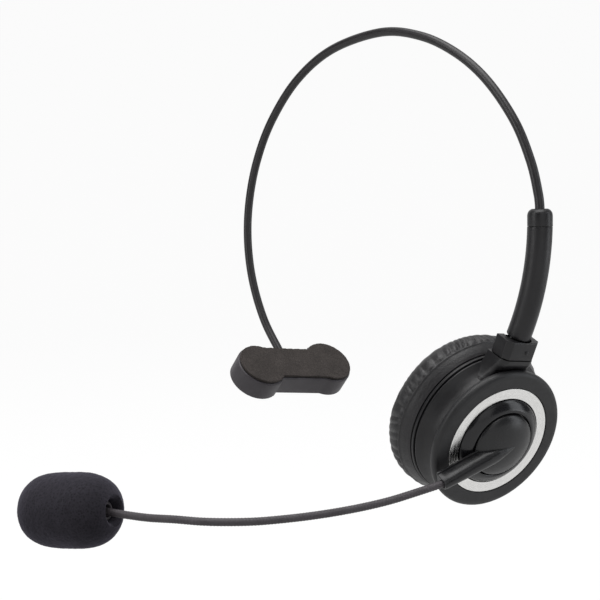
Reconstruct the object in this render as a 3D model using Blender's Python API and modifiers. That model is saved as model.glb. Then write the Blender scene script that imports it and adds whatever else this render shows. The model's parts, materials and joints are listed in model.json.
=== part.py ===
# Single-ear office headset with a wire headband, a temple bar, a turning ear
# cup and a flexible microphone boom. Metres, +Z up, -Y is the wearer's forward
# direction, +X is the side of the ear cup. The origin is the point on the
# underside of the headband's crown that rests on the head.
import math
import bpy
import bmesh
from mathutils import Matrix, Vector

MM = 0.001

# ---------------------------------------------------------------- dimensions
# All in millimetres, measured from the centre of the headband's arc.
ORIGIN_DROP = 68.55            # arc centre up to the underside of the crown
BAND_KEYS = [(-133.0, 69.9), (-120.0, 70.0), (-106.5, 70.05), (-93.6, 70.0),
             (-81.0, 69.77), (-67.6, 69.63), (-53.4, 69.7), (-37.0, 70.09),
             (-20.0, 70.08), (0.0, 70.1), (15.6, 69.95), (30.0, 69.72),
             (43.6, 69.71), (58.3, 69.99), (70.3, 70.33), (79.0, 70.62)]
WIRE_R = 0.72                  # spring steel core of the headband
SHEATH_R = 1.55                # plastic coating over it
SHEATH_WALL = 0.5
BAND_STEPS = 36

ARM_CX, ARM_CZ, ARM_R = -16.87, 3.515, 87.12   # arc of the slider arm
ARM_TOP, CAP_BOTTOM, ARM_END = 86.9, 90.7, 115.0  # degrees along that arc
ARM_OUT_R, ARM_IN_R = 4.1, 2.75
SHOE_A, SHOE_B = 108.6, 111.6

CUP_N = Vector((0.90563, -0.20112, -0.37333))  # outward normal of the cup
CUP_W = Vector((0.38112, 0.0, 0.92453))        # up, in the cup's plane
CUP_V = Vector((0.18595, 0.97957, -0.07664))   # backward, in the cup's plane
CUP_C = Vector((53.965, 0.0, -69.116))         # centre of the bright ring
PIN_DROP = 2.2                                 # tilt pin below the arm's end
BLOCK_W0, BLOCK_W1 = 29.35, 35.7               # bottom and top of the block
CUP_SEG = 32

HUB_TURN = 207.6                               # direction of the boom's neck
HUB_R = 11.3
NECK_R0, NECK_R1, NECK_END = 1.25, 2.18, 26.3
BOOM_R, BOOM_BORE = 1.28, 0.62
BOOM_KEYS = [(50.4, -24.0, -80.8), (47.2, -32.9, -82.8), (44.2, -42.0, -84.6),
             (41.2, -51.1, -85.8), (38.1, -60.2, -86.6), (34.9, -68.9, -87.1),
             (31.4, -77.1, -87.4), (27.3, -84.8, -87.6), (22.6, -91.7, -87.5),
             (16.3, -97.4, -87.45), (8.2, -101.5, -87.4), (-1.6, -104.4, -87.95),
             (-10.7, -107.5, -87.75), (-14.9, -108.95, -87.5), (-19.2, -110.4, -87.5)]
BEND_AT = 0.40                                 # share of the boom behind the bend
FOAM_MID = Vector((-29.0, -113.85, -88.25))
FOAM_AXIS = Vector((0.940, 0.331, 0.078)).normalized()
FOAM_HALF, FOAM_R = 17.3, 12.3

BAR_PITCH, BAR_YAW, BAR_ROLL = 47.9, -6.1, -2.3  # temple bar's face direction
BAR_HALF, BAR_LOBE, BAR_WAIST, BAR_FLAT = 15.4, 9.72, 6.95, 8.7
BAR_MID_X, BAR_MID_Y = 1.31, -7.82             # outline's middle from the band's end
BAR_BACK, BAR_RIM, PAD_FACE = -5.45, 2.7, 3.98
BAR_WALL = 1.4

# ---------------------------------------------------------------- scene setup
for old in list(bpy.data.objects):
    bpy.data.objects.remove(old, do_unlink=True)

scene = bpy.context.scene
parts = bpy.data.collections.new("office_headset")
tools = bpy.data.collections.new("cutters")
scene.collection.children.link(parts)
scene.collection.children.link(tools)


def point(p):
    """A point in millimetres from the arc centre, as metres in the frame."""
    return Vector((p[0], p[1], p[2] - ORIGIN_DROP)) * MM


def place(origin, x, y, z):
    """Matrix of a local frame with its origin in arc-centre millimetres."""
    o = point(origin)
    x, y, z = Vector(x).normalized(), Vector(y).normalized(), Vector(z).normalized()
    return Matrix(((x.x, y.x, z.x, o.x), (x.y, y.y, z.y, o.y),
                   (x.z, y.z, z.z, o.z), (0, 0, 0, 1)))


def offset(m, x=0.0, y=0.0, z=0.0):
    return m @ Matrix.Translation(Vector((x, y, z)) * MM)


def material(name, colour, rough, metal=0.0):
    m = bpy.data.materials.get(name)
    if m:
        return m
    m = bpy.data.materials.new(name)
    m.use_nodes = True
    b = m.node_tree.nodes["Principled BSDF"]
    b.inputs["Base Color"].default_value = (*colour, 1.0)
    b.inputs["Roughness"].default_value = rough
    b.inputs["Metallic"].default_value = metal
    return m


SATIN = material("satin_black_plastic", (0.018, 0.017, 0.019), 0.38)
GLOSS = material("gloss_black_plastic", (0.010, 0.010, 0.012), 0.16)
COAT = material("band_coating", (0.028, 0.026, 0.028), 0.42)
GREY = material("temple_bar_plastic", (0.050, 0.044, 0.050), 0.45)
FLEX = material("boom_rubber", (0.048, 0.044, 0.050), 0.60)
LEATHER = material("leatherette", (0.022, 0.021, 0.023), 0.48)
FOAM = material("foam", (0.016, 0.015, 0.019), 0.97)
PADFOAM = material("pad_foam", (0.034, 0.029, 0.027), 0.95)
CLOTH = material("scrim_cloth", (0.015, 0.015, 0.016), 0.9)
BRIGHT = material("bright_trim", (0.86, 0.86, 0.85), 0.22, 1.0)
STEEL = material("steel", (0.55, 0.55, 0.56), 0.35, 1.0)
BRASS = material("brass", (0.70, 0.55, 0.28), 0.35, 1.0)
BOARD = material("circuit_board", (0.02, 0.10, 0.045), 0.5)
CELL = material("battery_foil", (0.60, 0.61, 0.63), 0.35, 1.0)
LENS = material("clear_lens", (0.75, 0.80, 0.88), 0.12)
FILM = material("diaphragm_film", (0.55, 0.55, 0.52), 0.3)


def add(name, mesh, m, mat, where=None):
    ob = bpy.data.objects.new(name, mesh)
    (where or parts).objects.link(ob)
    ob.matrix_world = m
    if mat is not None:
        mesh.materials.clear()
        mesh.materials.append(mat)
    if where is tools:
        ob.hide_render = True
        ob.display_type = 'WIRE'
    return ob


def smooth(mesh, angle=35.0):
    mesh.shade_smooth()
    mesh.set_sharp_from_angle(angle=math.radians(angle))


def turned(name, profile, m, mat, steps=CUP_SEG, closed=False, where=None):
    """A turned piece: the (radius, height) profile runs down its outer side."""
    mesh = bpy.data.meshes.new(name)
    verts = [(r * MM, 0.0, h * MM) for r, h in profile]
    edges = [(i, i + 1) for i in range(len(verts) - 1)]
    if closed:
        edges.append((len(verts) - 1, 0))
    mesh.from_pydata(verts, edges, [])
    ob = add(name, mesh, m, mat, where)
    s = ob.modifiers.new("turn", 'SCREW')
    s.axis = 'Z'
    s.angle = 2 * math.pi
    s.screw_offset = 0.0
    s.steps = steps
    s.render_steps = steps
    s.use_merge_vertices = True
    s.merge_threshold = 0.000005
    s.use_smooth_shade = False
    return ob


def block(name, size, m, mat, bevel=0.0, where=None):
    mesh = bpy.data.meshes.new(name)
    bm = bmesh.new()
    bmesh.ops.create_cube(bm, size=1.0)
    bmesh.ops.scale(bm, vec=Vector(size) * MM, verts=bm.verts)
    bm.to_mesh(mesh)
    bm.free()
    ob = add(name, mesh, m, mat, where)
    if bevel:
        b = ob.modifiers.new("edges", 'BEVEL')
        b.width = bevel * MM
        b.segments = 2
    return ob


def rod(name, r, length, m, mat, seg=20, r_top=None, where=None):
    """A cylinder or cone centred on the frame's origin, along its Z."""
    mesh = bpy.data.meshes.new(name)
    bm = bmesh.new()
    bmesh.ops.create_cone(bm, cap_ends=True, segments=seg, radius1=r * MM,
                          radius2=(r if r_top is None else r_top) * MM,
                          depth=length * MM)
    bm.to_mesh(mesh)
    bm.free()
    return add(name, mesh, m, mat, where)


def curve_mesh(name, pts, r, caps=True, res=2):
    """Mesh of a round wire along points given in metres."""
    cu = bpy.data.curves.new(name, 'CURVE')
    cu.dimensions = '3D'
    sp = cu.splines.new('POLY')
    sp.points.add(len(pts) - 1)
    for q, p in zip(sp.points, pts):
        q.co = (p[0], p[1], p[2], 1.0)
    cu.bevel_depth = r * MM
    cu.bevel_resolution = res
    cu.use_fill_caps = caps
    cu.twist_mode = 'MINIMUM'
    ob = bpy.data.objects.new(name + "_guide", cu)
    tools.objects.link(ob)
    bpy.context.view_layer.update()
    dg = bpy.context.evaluated_depsgraph_get()
    mesh = bpy.data.meshes.new_from_object(ob.evaluated_get(dg))
    mesh.name = name
    bpy.data.objects.remove(ob, do_unlink=True)
    bm = bmesh.new()
    bm.from_mesh(mesh)
    bmesh.ops.remove_doubles(bm, verts=bm.verts, dist=0.000005)
    bm.to_mesh(mesh)
    bm.free()
    smooth(mesh, 60)
    return mesh


def wire(name, pts, r, mat, res=2, where=None):
    return add(name, curve_mesh(name, pts, r, True, res), Matrix.Identity(4), mat, where)


def pipe(name, pts, r, wall, mat, res=2):
    ob = add(name, curve_mesh(name, pts, r, False, res), Matrix.Identity(4), mat)
    s = ob.modifiers.new("wall", 'SOLIDIFY')
    s.thickness = wall * MM
    s.offset = -1.0
    s.use_even_offset = True
    return ob


def plate(name, outline, z0, z1, m, mat, bevel=0.0, where=None):
    """A flat outline in the frame's XY, from z0 to z1."""
    cu = bpy.data.curves.new(name, 'CURVE')
    cu.dimensions = '2D'
    cu.fill_mode = 'BOTH'
    cu.extrude = (z1 - z0) / 2 * MM
    sp = cu.splines.new('POLY')
    sp.points.add(len(outline) - 1)
    for q, p in zip(sp.points, outline):
        q.co = (p[0] * MM, p[1] * MM, 0.0, 1.0)
    sp.use_cyclic_u = True
    ob = bpy.data.objects.new(name + "_guide", cu)
    tools.objects.link(ob)
    bpy.context.view_layer.update()
    dg = bpy.context.evaluated_depsgraph_get()
    mesh = bpy.data.meshes.new_from_object(ob.evaluated_get(dg))
    mesh.name = name
    bpy.data.objects.remove(ob, do_unlink=True)
    bm = bmesh.new()
    bm.from_mesh(mesh)
    bmesh.ops.remove_doubles(bm, verts=bm.verts, dist=0.000005)
    bmesh.ops.dissolve_limit(bm, angle_limit=0.002, verts=bm.verts, edges=bm.edges)
    bmesh.ops.recalc_face_normals(bm, faces=bm.faces)
    bm.to_mesh(mesh)
    bm.free()
    ob = add(name, mesh, offset(m, z=(z0 + z1) / 2), mat, where)
    if bevel:
        b = ob.modifiers.new("edges", 'BEVEL')
        b.width = bevel * MM
        b.segments = 2
        b.limit_method = 'ANGLE'
        b.angle_limit = math.radians(50)
    return ob


def boolean(ob, other, kind):
    b = ob.modifiers.new(kind.lower(), 'BOOLEAN')
    b.operation = kind
    b.solver = 'EXACT'
    b.object = other
    return b


def cut(ob, *others):
    for o in others:
        boolean(ob, o, 'DIFFERENCE')


def join(ob, *others):
    for o in others:
        boolean(ob, o, 'UNION')


def spline(keys, count, t0=0.0, t1=1.0):
    """Catmull-Rom curve through the key points, evenly stepped."""
    k = [Vector(p) for p in keys]
    k = [k[0] * 2 - k[1]] + k + [k[-1] * 2 - k[-2]]
    dense = []
    for i in range(1, len(k) - 2):
        for j in range(24):
            t = j / 24.0
            a, b, c, d = k[i - 1], k[i], k[i + 1], k[i + 2]
            dense.append(0.5 * ((2 * b) + (c - a) * t + (2 * a - 5 * b + 4 * c - d) * t * t
                                + (3 * b - a - 3 * c + d) * t ** 3))
    dense.append(k[-2])
    run = [0.0]
    for p, q in zip(dense, dense[1:]):
        run.append(run[-1] + (q - p).length)
    out = []
    for i in range(count):
        s = (t0 + (t1 - t0) * i / (count - 1)) * run[-1]
        j = max(1, next((n for n, r in enumerate(run) if r >= s - 1e-9), len(run) - 1))
        f = (s - run[j - 1]) / max(run[j] - run[j - 1], 1e-9)
        out.append(dense[j - 1].lerp(dense[j], min(max(f, 0.0), 1.0)))
    return out


# ---------------------------------------------------------------- pivots
def pivot(name, m, parent=None):
    e = bpy.data.objects.new(name, None)
    e.empty_display_size = 0.01
    parts.objects.link(e)
    if parent:
        e.parent = parent
        bpy.context.view_layer.update()
        e.matrix_parent_inverse = parent.matrix_world.inverted()
    e.matrix_world = m
    bpy.context.view_layer.update()
    return e


def arm_at(deg, y=0.0):
    """Point and travel direction on the slider arm's arc."""
    a = math.radians(deg)
    p = Vector((ARM_CX + ARM_R * math.sin(a), y, ARM_CZ + ARM_R * math.cos(a)))
    return p, Vector((math.cos(a), 0.0, -math.sin(a)))


def cup_pt(v, w, h):
    return CUP_C + CUP_V * v + CUP_W * w + CUP_N * h


CUP = place(CUP_C, CUP_V, CUP_W, CUP_N)
END, END_DIR = arm_at(ARM_END)
ARMF = place(END, (0, 1, 0), END_DIR.cross(Vector((0, 1, 0))) * -1, END_DIR * -1)
TILT_P = END + END_DIR * PIN_DROP
TILT = place(TILT_P, (1, 0, 0), (0, 0, 1), (0, -1, 0))
AXIS_V, AXIS_H = (TILT_P - CUP_C).dot(CUP_V), (TILT_P - CUP_C).dot(CUP_N)
AXIS = place(cup_pt(AXIS_V, 0, AXIS_H), CUP_V, CUP_N * -1, CUP_W)   # Z up the swivel axis
ARM_PIVOT = place((ARM_CX, 0, ARM_CZ), (1, 0, 0), (0, 1, 0), (0, 0, 1))
hub_dir = CUP_V * math.cos(math.radians(HUB_TURN)) + CUP_W * math.sin(math.radians(HUB_TURN))
HUB = place(CUP_C, hub_dir, CUP_N.cross(hub_dir), CUP_N)             # X along the neck

b_p, b_y, b_r = (math.radians(x) for x in (BAR_PITCH, BAR_YAW, BAR_ROLL))
BAR_N = Vector((math.cos(b_p) * math.cos(b_y), math.cos(b_p) * math.sin(b_y), math.sin(b_p)))
along = Vector((-math.sin(b_y), math.cos(b_y), 0.0))
across = BAR_N.cross(along)
BAR_X = along * math.cos(b_r) + across * math.sin(b_r)
BAR_Y = across * math.cos(b_r) - along * math.sin(b_r)
phi0 = math.radians(BAND_KEYS[0][0])
BAND_END = Vector((BAND_KEYS[0][1] * math.sin(phi0), 0, BAND_KEYS[0][1] * math.cos(phi0)))
WIRE_UP = Vector((math.cos(phi0), 0, -math.sin(phi0)))         # up the band at its end
BAR = place(BAND_END, BAR_X, BAR_Y, BAR_N)
ENTRY = place(BAND_END, (0, 1, 0), WIRE_UP.cross(Vector((0, 1, 0))), WIRE_UP)

p_head = pivot("headband_frame", Matrix.Identity(4))
p_arm = pivot("arm_pivot", ARM_PIVOT, p_head)
p_tilt = pivot("cup_tilt_pivot", TILT, p_arm)
p_swivel = pivot("cup_swivel_pivot", AXIS, p_tilt)
p_boom = pivot("boom_pivot", CUP, p_swivel)
p_bar = pivot("temple_bar_pivot", ENTRY, p_head)

bodies = {}


def ride(parent, *objs):
    bpy.context.view_layer.update()
    for ob in objs:
        mw = ob.matrix_world.copy()
        ob.parent = parent
        ob.matrix_parent_inverse = parent.matrix_world.inverted()
        ob.matrix_world = mw


# ---------------------------------------------------------------- headband
arc = [(r * math.sin(math.radians(a)), 0.0, r * math.cos(math.radians(a)))
       for a, r in BAND_KEYS]
tongue = [tuple(arm_at(a)[0]) for a in (87.0, 91.0, 95.0, 99.0, 103.0, 107.0, SHOE_A - 0.3)]
band_line = [BAND_END - WIRE_UP * 3.0] + spline(arc + tongue, BAND_STEPS)
sheath_pts = [point(p) for p in band_line]
band_sheath = pipe("headband_sheath", sheath_pts, SHEATH_R, SHEATH_WALL, COAT)
core_line = ([BAND_END - WIRE_UP * 9.8, BAND_END - WIRE_UP * 6.0] + band_line[:-1]
             + [arm_at(SHOE_A)[0], arm_at((SHOE_A + SHOE_B) / 2)[0], arm_at(SHOE_B - 0.5)[0]])
band_core = wire("headband_core", [point(p) for p in core_line], WIRE_R, STEEL, 1)

mid, mid_dir = arm_at((SHOE_A + SHOE_B) / 2)
SHOE = place(mid, (0, 1, 0), mid_dir.cross(Vector((0, 1, 0))) * -1, mid_dir * -1)
shoe_h = math.radians(SHOE_B - SHOE_A) * ARM_R / 2
shoe = turned("slider_shoe", [(2.05, shoe_h), (2.35, shoe_h - 0.4), (2.35, -shoe_h + 0.4),
                              (2.05, -shoe_h), (1.05, -shoe_h), (1.05, shoe_h)],
              SHOE, SATIN, 20, True)

# crimped collar on the band's other end, which turns inside the temple bar
collar = turned("band_end_collar", [(1.45, -5.4), (1.45, -9.9), (1.02, -9.9), (1.02, -5.4)],
                ENTRY, BRASS, 16, True)

ride(p_head, band_sheath, band_core, shoe, collar)

# ---------------------------------------------------------------- temple bar
def bar_outline(grow, n=8):
    """Dumb-bell outline: two round lobes joined by a narrower waist."""
    r, w = BAR_LOBE + grow, BAR_WAIST + grow
    half = []
    for i in range(n + 1):                            # right lobe, bottom to top
        a = math.radians(-118 + 236 * i / n)
        half.append((BAR_HALF + r * math.cos(a), r * math.sin(a)))
    neck = []
    x0, y0 = half[-1]
    for i in range(1, 4):                             # ease into the waist
        t = i / 4.0
        e = t * t * (3 - 2 * t)
        neck.append((x0 * (1 - t) + BAR_FLAT * t, y0 * (1 - e) + w * e))
    neck.append((BAR_FLAT, w))
    right = half + neck
    left = [(-x, -y) for x, y in right]
    return [(x + BAR_MID_X, y + BAR_MID_Y) for x, y in right + left]


bar_shell = plate("temple_bar_shell", bar_outline(0), BAR_BACK, BAR_RIM, BAR, GREY, 0.7)
bar_room = plate("bar_room", bar_outline(-BAR_WALL), BAR_BACK + 1.5, BAR_RIM + 2.0, BAR, None,
                 where=tools)
bar_boss = block("bar_boss", (6.4, 12.6, 6.4), offset(BAR, 0, -7.6, -1.6), None, where=tools)
bar_cover = plate("temple_bar_cover", bar_outline(-BAR_WALL - 0.55), 1.75, BAR_RIM, BAR, GREY)
bar_pad = plate("temple_pad", bar_outline(-0.45), BAR_RIM + 0.3, PAD_FACE, BAR, PADFOAM, 0.3)
band_slot = turned("band_slot", [(0.0, 5.5), (1.95, 5.5), (1.95, -3.4), (1.1, -3.4),
                                 (1.1, -5.0), (1.85, -5.0), (1.85, -10.9), (0.0, -10.9)],
                   ENTRY, None, 20, where=tools)
cut(bar_shell, bar_room)
join(bar_shell, bar_boss)
cut(bar_shell, band_slot)

screws = []
for s, tag in ((-1, "a"), (1, "b")):
    at = offset(BAR, BAR_MID_X + s * BAR_HALF, BAR_MID_Y, 0)
    hole = rod("bar_screw_hole_" + tag, 0.95, 6.0, offset(at, z=-5.0), None, 12, where=tools)
    sink = rod("bar_screw_sink_" + tag, 1.8, 2.0, offset(at, z=BAR_BACK), None, 16, where=tools)
    post = rod("bar_post_" + tag, 1.8, 5.4, offset(at, z=-0.6), None, 16, where=tools)
    bore = rod("bar_post_bore_" + tag, 0.92, 6.0, offset(at, z=-1.8), None, 12, where=tools)
    cut(bar_shell, hole, sink)
    join(bar_cover, post)
    cut(bar_cover, bore)
    screws.append(turned("temple_bar_screw_" + tag,
                         [(0.0, 0.7), (0.6, 0.4), (0.6, -4.6), (1.45, -4.75), (1.45, -5.2),
                          (0.0, -5.35)], at, STEEL, 12))
ride(p_bar, bar_shell, bar_cover, bar_pad, *screws)

# ---------------------------------------------------------------- slider arm
count = 9
arm_pts = [point(arm_at(CAP_BOTTOM + (ARM_END + 0.1 - CAP_BOTTOM) * i / (count - 1))[0])
           for i in range(count)]
sleeve = pipe("arm_sleeve", arm_pts, ARM_OUT_R, ARM_OUT_R - ARM_IN_R, SATIN, 4)

cap_mid, cap_dir = arm_at((ARM_TOP + CAP_BOTTOM) / 2)
CAPF = place(cap_mid, (0, 1, 0), cap_dir.cross(Vector((0, 1, 0))) * -1, cap_dir * -1)
cap_h = math.radians(CAP_BOTTOM - ARM_TOP) * ARM_R / 2
cap = turned("arm_cap", [(1.95, cap_h), (2.6, cap_h - 0.08), (3.35, cap_h - 0.45),
                         (3.9, cap_h - 1.15), (4.1, cap_h - 2.0), (4.1, -cap_h + 0.45),
                         (2.3, -cap_h + 0.45), (2.3, -cap_h - 1.5), (1.95, -cap_h - 1.5)],
             CAPF, SATIN, 24, True)

# metal end piece: a plug in the arm with an eye for the tilt pin
eye = turned("arm_eye", [(0.0, 4.4), (2.25, 4.4), (2.25, -0.15), (2.1, -0.55), (0.0, -0.55)],
             ARMF, STEEL, 20)
eye_tab = block("eye_tab", (2.2, 3.2, PIN_DROP), offset(ARMF, 0, 0, -PIN_DROP / 2), None, where=tools)
eye_round = rod("eye_round", 1.6, 2.2,
                offset(ARMF, 0, 0, -PIN_DROP) @ Matrix.Rotation(math.pi / 2, 4, 'Y'), None, 20, where=tools)
eye_bore = rod("eye_bore", 0.98, 6.0,
               offset(ARMF, 0, 0, -PIN_DROP) @ Matrix.Rotation(math.pi / 2, 4, 'Y'), None, 16, where=tools)
join(eye, eye_tab, eye_round)
cut(eye, eye_bore)
ride(p_arm, sleeve, cap, eye)

# ---------------------------------------------------------------- swivel core
# A turned post under a fork. The fork carries the tilt pin, the post turns in
# the block. Local frame: origin on the swivel axis at the pin's height.
pin_w = (TILT_P - cup_pt(AXIS_V, 0, AXIS_H)).dot(CUP_W)
CORE = place(cup_pt(AXIS_V, 0, AXIS_H) + CUP_W * pin_w, (0, 1, 0),
             CUP_W.cross(Vector((0, 1, 0))), CUP_W)
core = turned("swivel_core", [(0.0, -2.5), (3.7, -2.5), (3.7, -3.3), (1.7, -3.3), (1.7, -7.0),
                              (0.0, -7.0)], CORE, STEEL, 24)
for s in (-1, 1):
    ear = block("fork_ear_%s" % ("a" if s < 0 else "b"), (1.1, 3.0, 4.0),
                offset(CORE, s * 2.1, 0, -0.95), None, where=tools)
    join(core, ear)
core_bore = rod("core_bore", 0.98, 8.0, offset(CORE) @ Matrix.Rotation(math.pi / 2, 4, 'Y'),
                None, 16, where=tools)
cut(core, core_bore)
tilt_pin = rod("tilt_pin", 0.66, 5.6, offset(CORE) @ Matrix.Rotation(math.pi / 2, 4, 'Y'), STEEL, 16)
clip = turned("swivel_clip", [(2.55, -6.05), (2.55, -6.55), (2.02, -6.55), (2.02, -6.05)],
              CORE, STEEL, 20, True)
ride(p_tilt, core, tilt_pin, clip)

# ---------------------------------------------------------------- yoke block
# local frame of the block: X backward, Y inward, Z up the swivel axis
BLK = offset(AXIS, -0.3, 0, 0)
yoke = plate("yoke_block", [(6.8, -3.1), (6.8, 3.1), (4.9, 5.0), (-3.4, 5.0), (-6.8, 2.4),
                            (-6.8, -3.1), (-4.9, -5.0), (4.9, -5.0)],
             BLOCK_W0, BLOCK_W1, BLK, SATIN, 0.55)
back_slope = block("yoke_back_slope", (20.0, 8.0, 4.0),
                   offset(BLK, 0, 4.64, 36.56) @ Matrix.Rotation(math.radians(-31.3), 4, 'X'),
                   None, where=tools)
cut(yoke, back_slope)
core_w = pin_w
yoke_room = turned("yoke_room", [(0.0, 38.5), (4.75, 38.5), (4.75, core_w - 3.75),
                                 (2.05, core_w - 3.75), (2.05, 28.0), (0.0, 28.0)],
                   AXIS, None, 24, where=tools)
cut(yoke, yoke_room)
dot = turned("side_dot", [(0.0, 0.45), (0.55, 0.30), (0.75, 0.0), (0.75, -0.6), (0.0, -0.6)],
             offset(BLK, 1.6, -5.0, 32.2) @ Matrix.Rotation(math.pi / 2, 4, 'X'), None, 12, where=tools)
join(yoke, dot)

# ---------------------------------------------------------------- cup housing
housing = turned("cup_housing", [(0.0, -3.95), (22.1, -3.95), (22.3, -5.2), (22.9, -7.0),
                                 (24.0, -8.9), (25.2, -10.2), (25.7, -10.75), (25.7, -11.25),
                                 (0.0, -11.25)], CUP, SATIN)
# flared neck under the yoke block
neck_mesh = bpy.data.meshes.new("cup_neck")
bmn = bmesh.new()
levels = [(17.0, 8.6, -10.75, -4.1), (24.6, 8.2, -10.75, -3.2), (26.3, 7.5, -10.5, -1.9),
          (27.6, 7.0, -10.5, -1.3), (29.0, 6.7, -10.5, -1.1)]
rings = []
for w, a, h0, h1 in levels:
    pts = [(a, h0 + 1.6), (a, h1 - 1.6), (a - 1.6, h1), (-a + 1.6, h1), (-a, h1 - 1.6),
           (-a, h0 + 1.6), (-a + 1.6, h0), (a - 1.6, h0)]
    rings.append([bmn.verts.new(Vector((x + AXIS_V - 0.3, w, h)) * MM) for x, h in pts])
for ra, rb in zip(rings, rings[1:]):                  # loft between unlike sections
    for i in range(8):
        bmn.faces.new((ra[i], ra[(i + 1) % 8], rb[(i + 1) % 8], rb[i]))
bmn.faces.new(rings[0])
bmn.faces.new(list(reversed(rings[-1])))
bmesh.ops.recalc_face_normals(bmn, faces=bmn.faces)
bmn.to_mesh(neck_mesh)
bmn.free()
neck = add("cup_neck", neck_mesh, CUP, None, tools)
plate_room = turned("plate_room", [(0.0, 3.0), (25.85, 3.0), (25.85, -3.95), (22.6, -3.95),
                                   (0.0, -3.95)], CUP, None, where=tools)
inside = turned("housing_room", [(0.0, -2.0), (20.5, -2.0), (20.7, -5.2), (21.3, -7.0),
                                 (22.4, -8.9), (23.4, -10.2), (23.4, -12.0), (0.0, -12.0)],
                CUP, None, where=tools)
clip_room = turned("clip_room", [(0.0, 31.0), (3.1, 31.0), (3.1, core_w - 7.6), (0.0, core_w - 7.6)],
                   AXIS, None, 24, where=tools)
join(housing, neck)
cut(housing, plate_room, inside, clip_room)


def rim_frame(deg, r, h):
    """Frame on the cup's side wall: X around the wall, Y along the cup, Z out."""
    a = math.radians(deg)
    out = CUP_V * math.cos(a) + CUP_W * math.sin(a)
    return place(CUP_C + out * r + CUP_N * h, CUP_N.cross(out), CUP_N, out)


# buttons and the charging port, on the side wall that faces backward
BUTTONS = [("call_button", 4.0, 7.0), ("volume_up_button", -24.0, 5.0),
           ("volume_down_button", -46.0, 5.0)]
button_objs, switch_objs = [], []
for name, deg, wide in BUTTONS:
    at = rim_frame(deg, 22.6, -7.35)
    win = block(name + "_window", (wide + 0.7, 3.3, 7.0), at, None, where=tools)
    cut(housing, win)
    cap_ob = block(name, (wide, 2.6, 3.3), offset(at, 0, 0, 0.35), SATIN, 0.35)
    flange = block(name + "_flange", (wide + 1.4, 2.8, 0.5), offset(at, 0, 0, -2.7), None, where=tools)
    neckb = block(name + "_stem", (wide - 1.0, 2.0, 2.2), offset(at, 0, 0, -1.7), None, where=tools)
    join(cap_ob, neckb, flange)
    button_objs.append(cap_ob)
    switch_objs.append(block(name + "_switch", (3.2, 1.5, 1.4), rim_frame(deg, 18.2, -6.35), STEEL))
port_at = rim_frame(-72.0, 22.4, -7.2)
port_cut = block("port_window", (9.4, 3.3, 8.0), port_at, None, where=tools)
cut(housing, port_cut)
led_at = rim_frame(21.0, 22.4, -7.2)
led_cut = rod("led_window", 0.95, 8.0, led_at, None, 16, where=tools)
cut(housing, led_cut)
led = rod("status_light", 0.62, 4.0, offset(led_at, 0, 0, -0.55), LENS, 16)

# ---------------------------------------------------------------- front plate
plate_ob = turned("cup_front_plate",
                  [(11.75, 2.35), (12.1, 2.45), (12.9, 2.2), (14.2, 1.45), (15.1, 0.75), (15.55, 0.1),
                   (15.6, -0.95), (19.85, -0.95), (19.85, -0.05), (20.2, 0.1), (23.6, 0.1),
                   (24.7, -0.15), (25.25, -0.75), (25.45, -1.7), (25.3, -2.7), (24.6, -3.3),
                   (22.3, -3.55), (20.1, -3.6), (20.1, -4.6), (18.9, -4.6), (18.9, -2.4),
                   (4.1, -1.6), (4.1, 0.3), (11.75, 0.3)],
                  CUP, SATIN, CUP_SEG, True)
accent = turned("accent_ring", [(19.55, -0.05), (19.55, -0.65), (15.9, -0.65), (15.9, -0.05),
                                (17.7, 0.02)], CUP, BRIGHT, CUP_SEG, True)

# ---------------------------------------------------------------- boom hub
hub_base = turned("boom_hub_base", [(1.45, 2.05), (9.9, 2.05), (9.9, 0.6), (3.75, 0.6),
                                    (3.75, -1.95), (3.0, -1.95), (3.0, -3.1), (1.45, -3.1)],
                  HUB, SATIN, 24, True)
hub_ring = turned("hub_retaining_ring", [(5.4, -2.3), (5.4, -2.8), (3.3, -2.8), (3.3, -2.3)],
                  HUB, STEEL, 24, True)
hub = turned("boom_hub_cover", [(0.0, 6.15), (2.5, 6.08), (5.0, 5.72), (7.4, 5.08), (9.4, 4.25),
                                (10.7, 3.45), (11.2, 2.9), (11.3, 2.3), (11.3, 0.75),
                                (10.25, 0.75), (10.25, 2.6), (9.0, 3.1), (6.5, 3.95), (3.5, 4.55),
                                (0.0, 4.75)], HUB, GLOSS, 28)
skirt = plate("neck_skirt", [(8.6, -4.2), (NECK_END - 0.9, -2.7), (NECK_END, -2.0),
                             (NECK_END, 2.0), (NECK_END - 0.9, 2.7), (8.6, 4.2)],
              2.95, 3.6, HUB, None, where=tools)
skirt_room = turned("skirt_room", [(0.0, 5.0), (10.4, 5.0), (10.4, 0.0), (0.0, 0.0)], HUB, None, 32,
                    where=tools)
cut(skirt, skirt_room)
ALONG = HUB @ Matrix.Rotation(math.pi / 2, 4, 'Y')    # Z of this frame runs along the neck
neck_tube = rod("neck_tube", NECK_R0, NECK_END + 0.5, offset(HUB, (NECK_END - 0.5) / 2, 0, 6.0)
                @ Matrix.Rotation(math.pi / 2, 4, 'Y'), None, 20, NECK_R1, where=tools)
web = plate("neck_web", [(9.3, -2.6), (25.4, -2.1), (25.4, 2.1), (9.3, 2.6)], 3.35, 6.0, HUB, None,
            where=tools)
socket = rod("boom_socket", BOOM_R + 0.32, 9.0, offset(HUB, NECK_END - 3.5, 0, 6.0)
             @ Matrix.Rotation(math.pi / 2, 4, 'Y'), None, 16, where=tools)
lead_way = rod("lead_way", 0.75, 17.0, offset(HUB, NECK_END - 15.0, 0, 5.7)
               @ Matrix.Rotation(math.pi / 2, 4, 'Y'), None, 12, where=tools)
lead_drop = rod("lead_drop", 0.75, 4.6, offset(HUB, 4.2, 0, 3.6), None, 12, where=tools)
join(hub, skirt, web, neck_tube)
cut(hub, socket)

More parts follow.
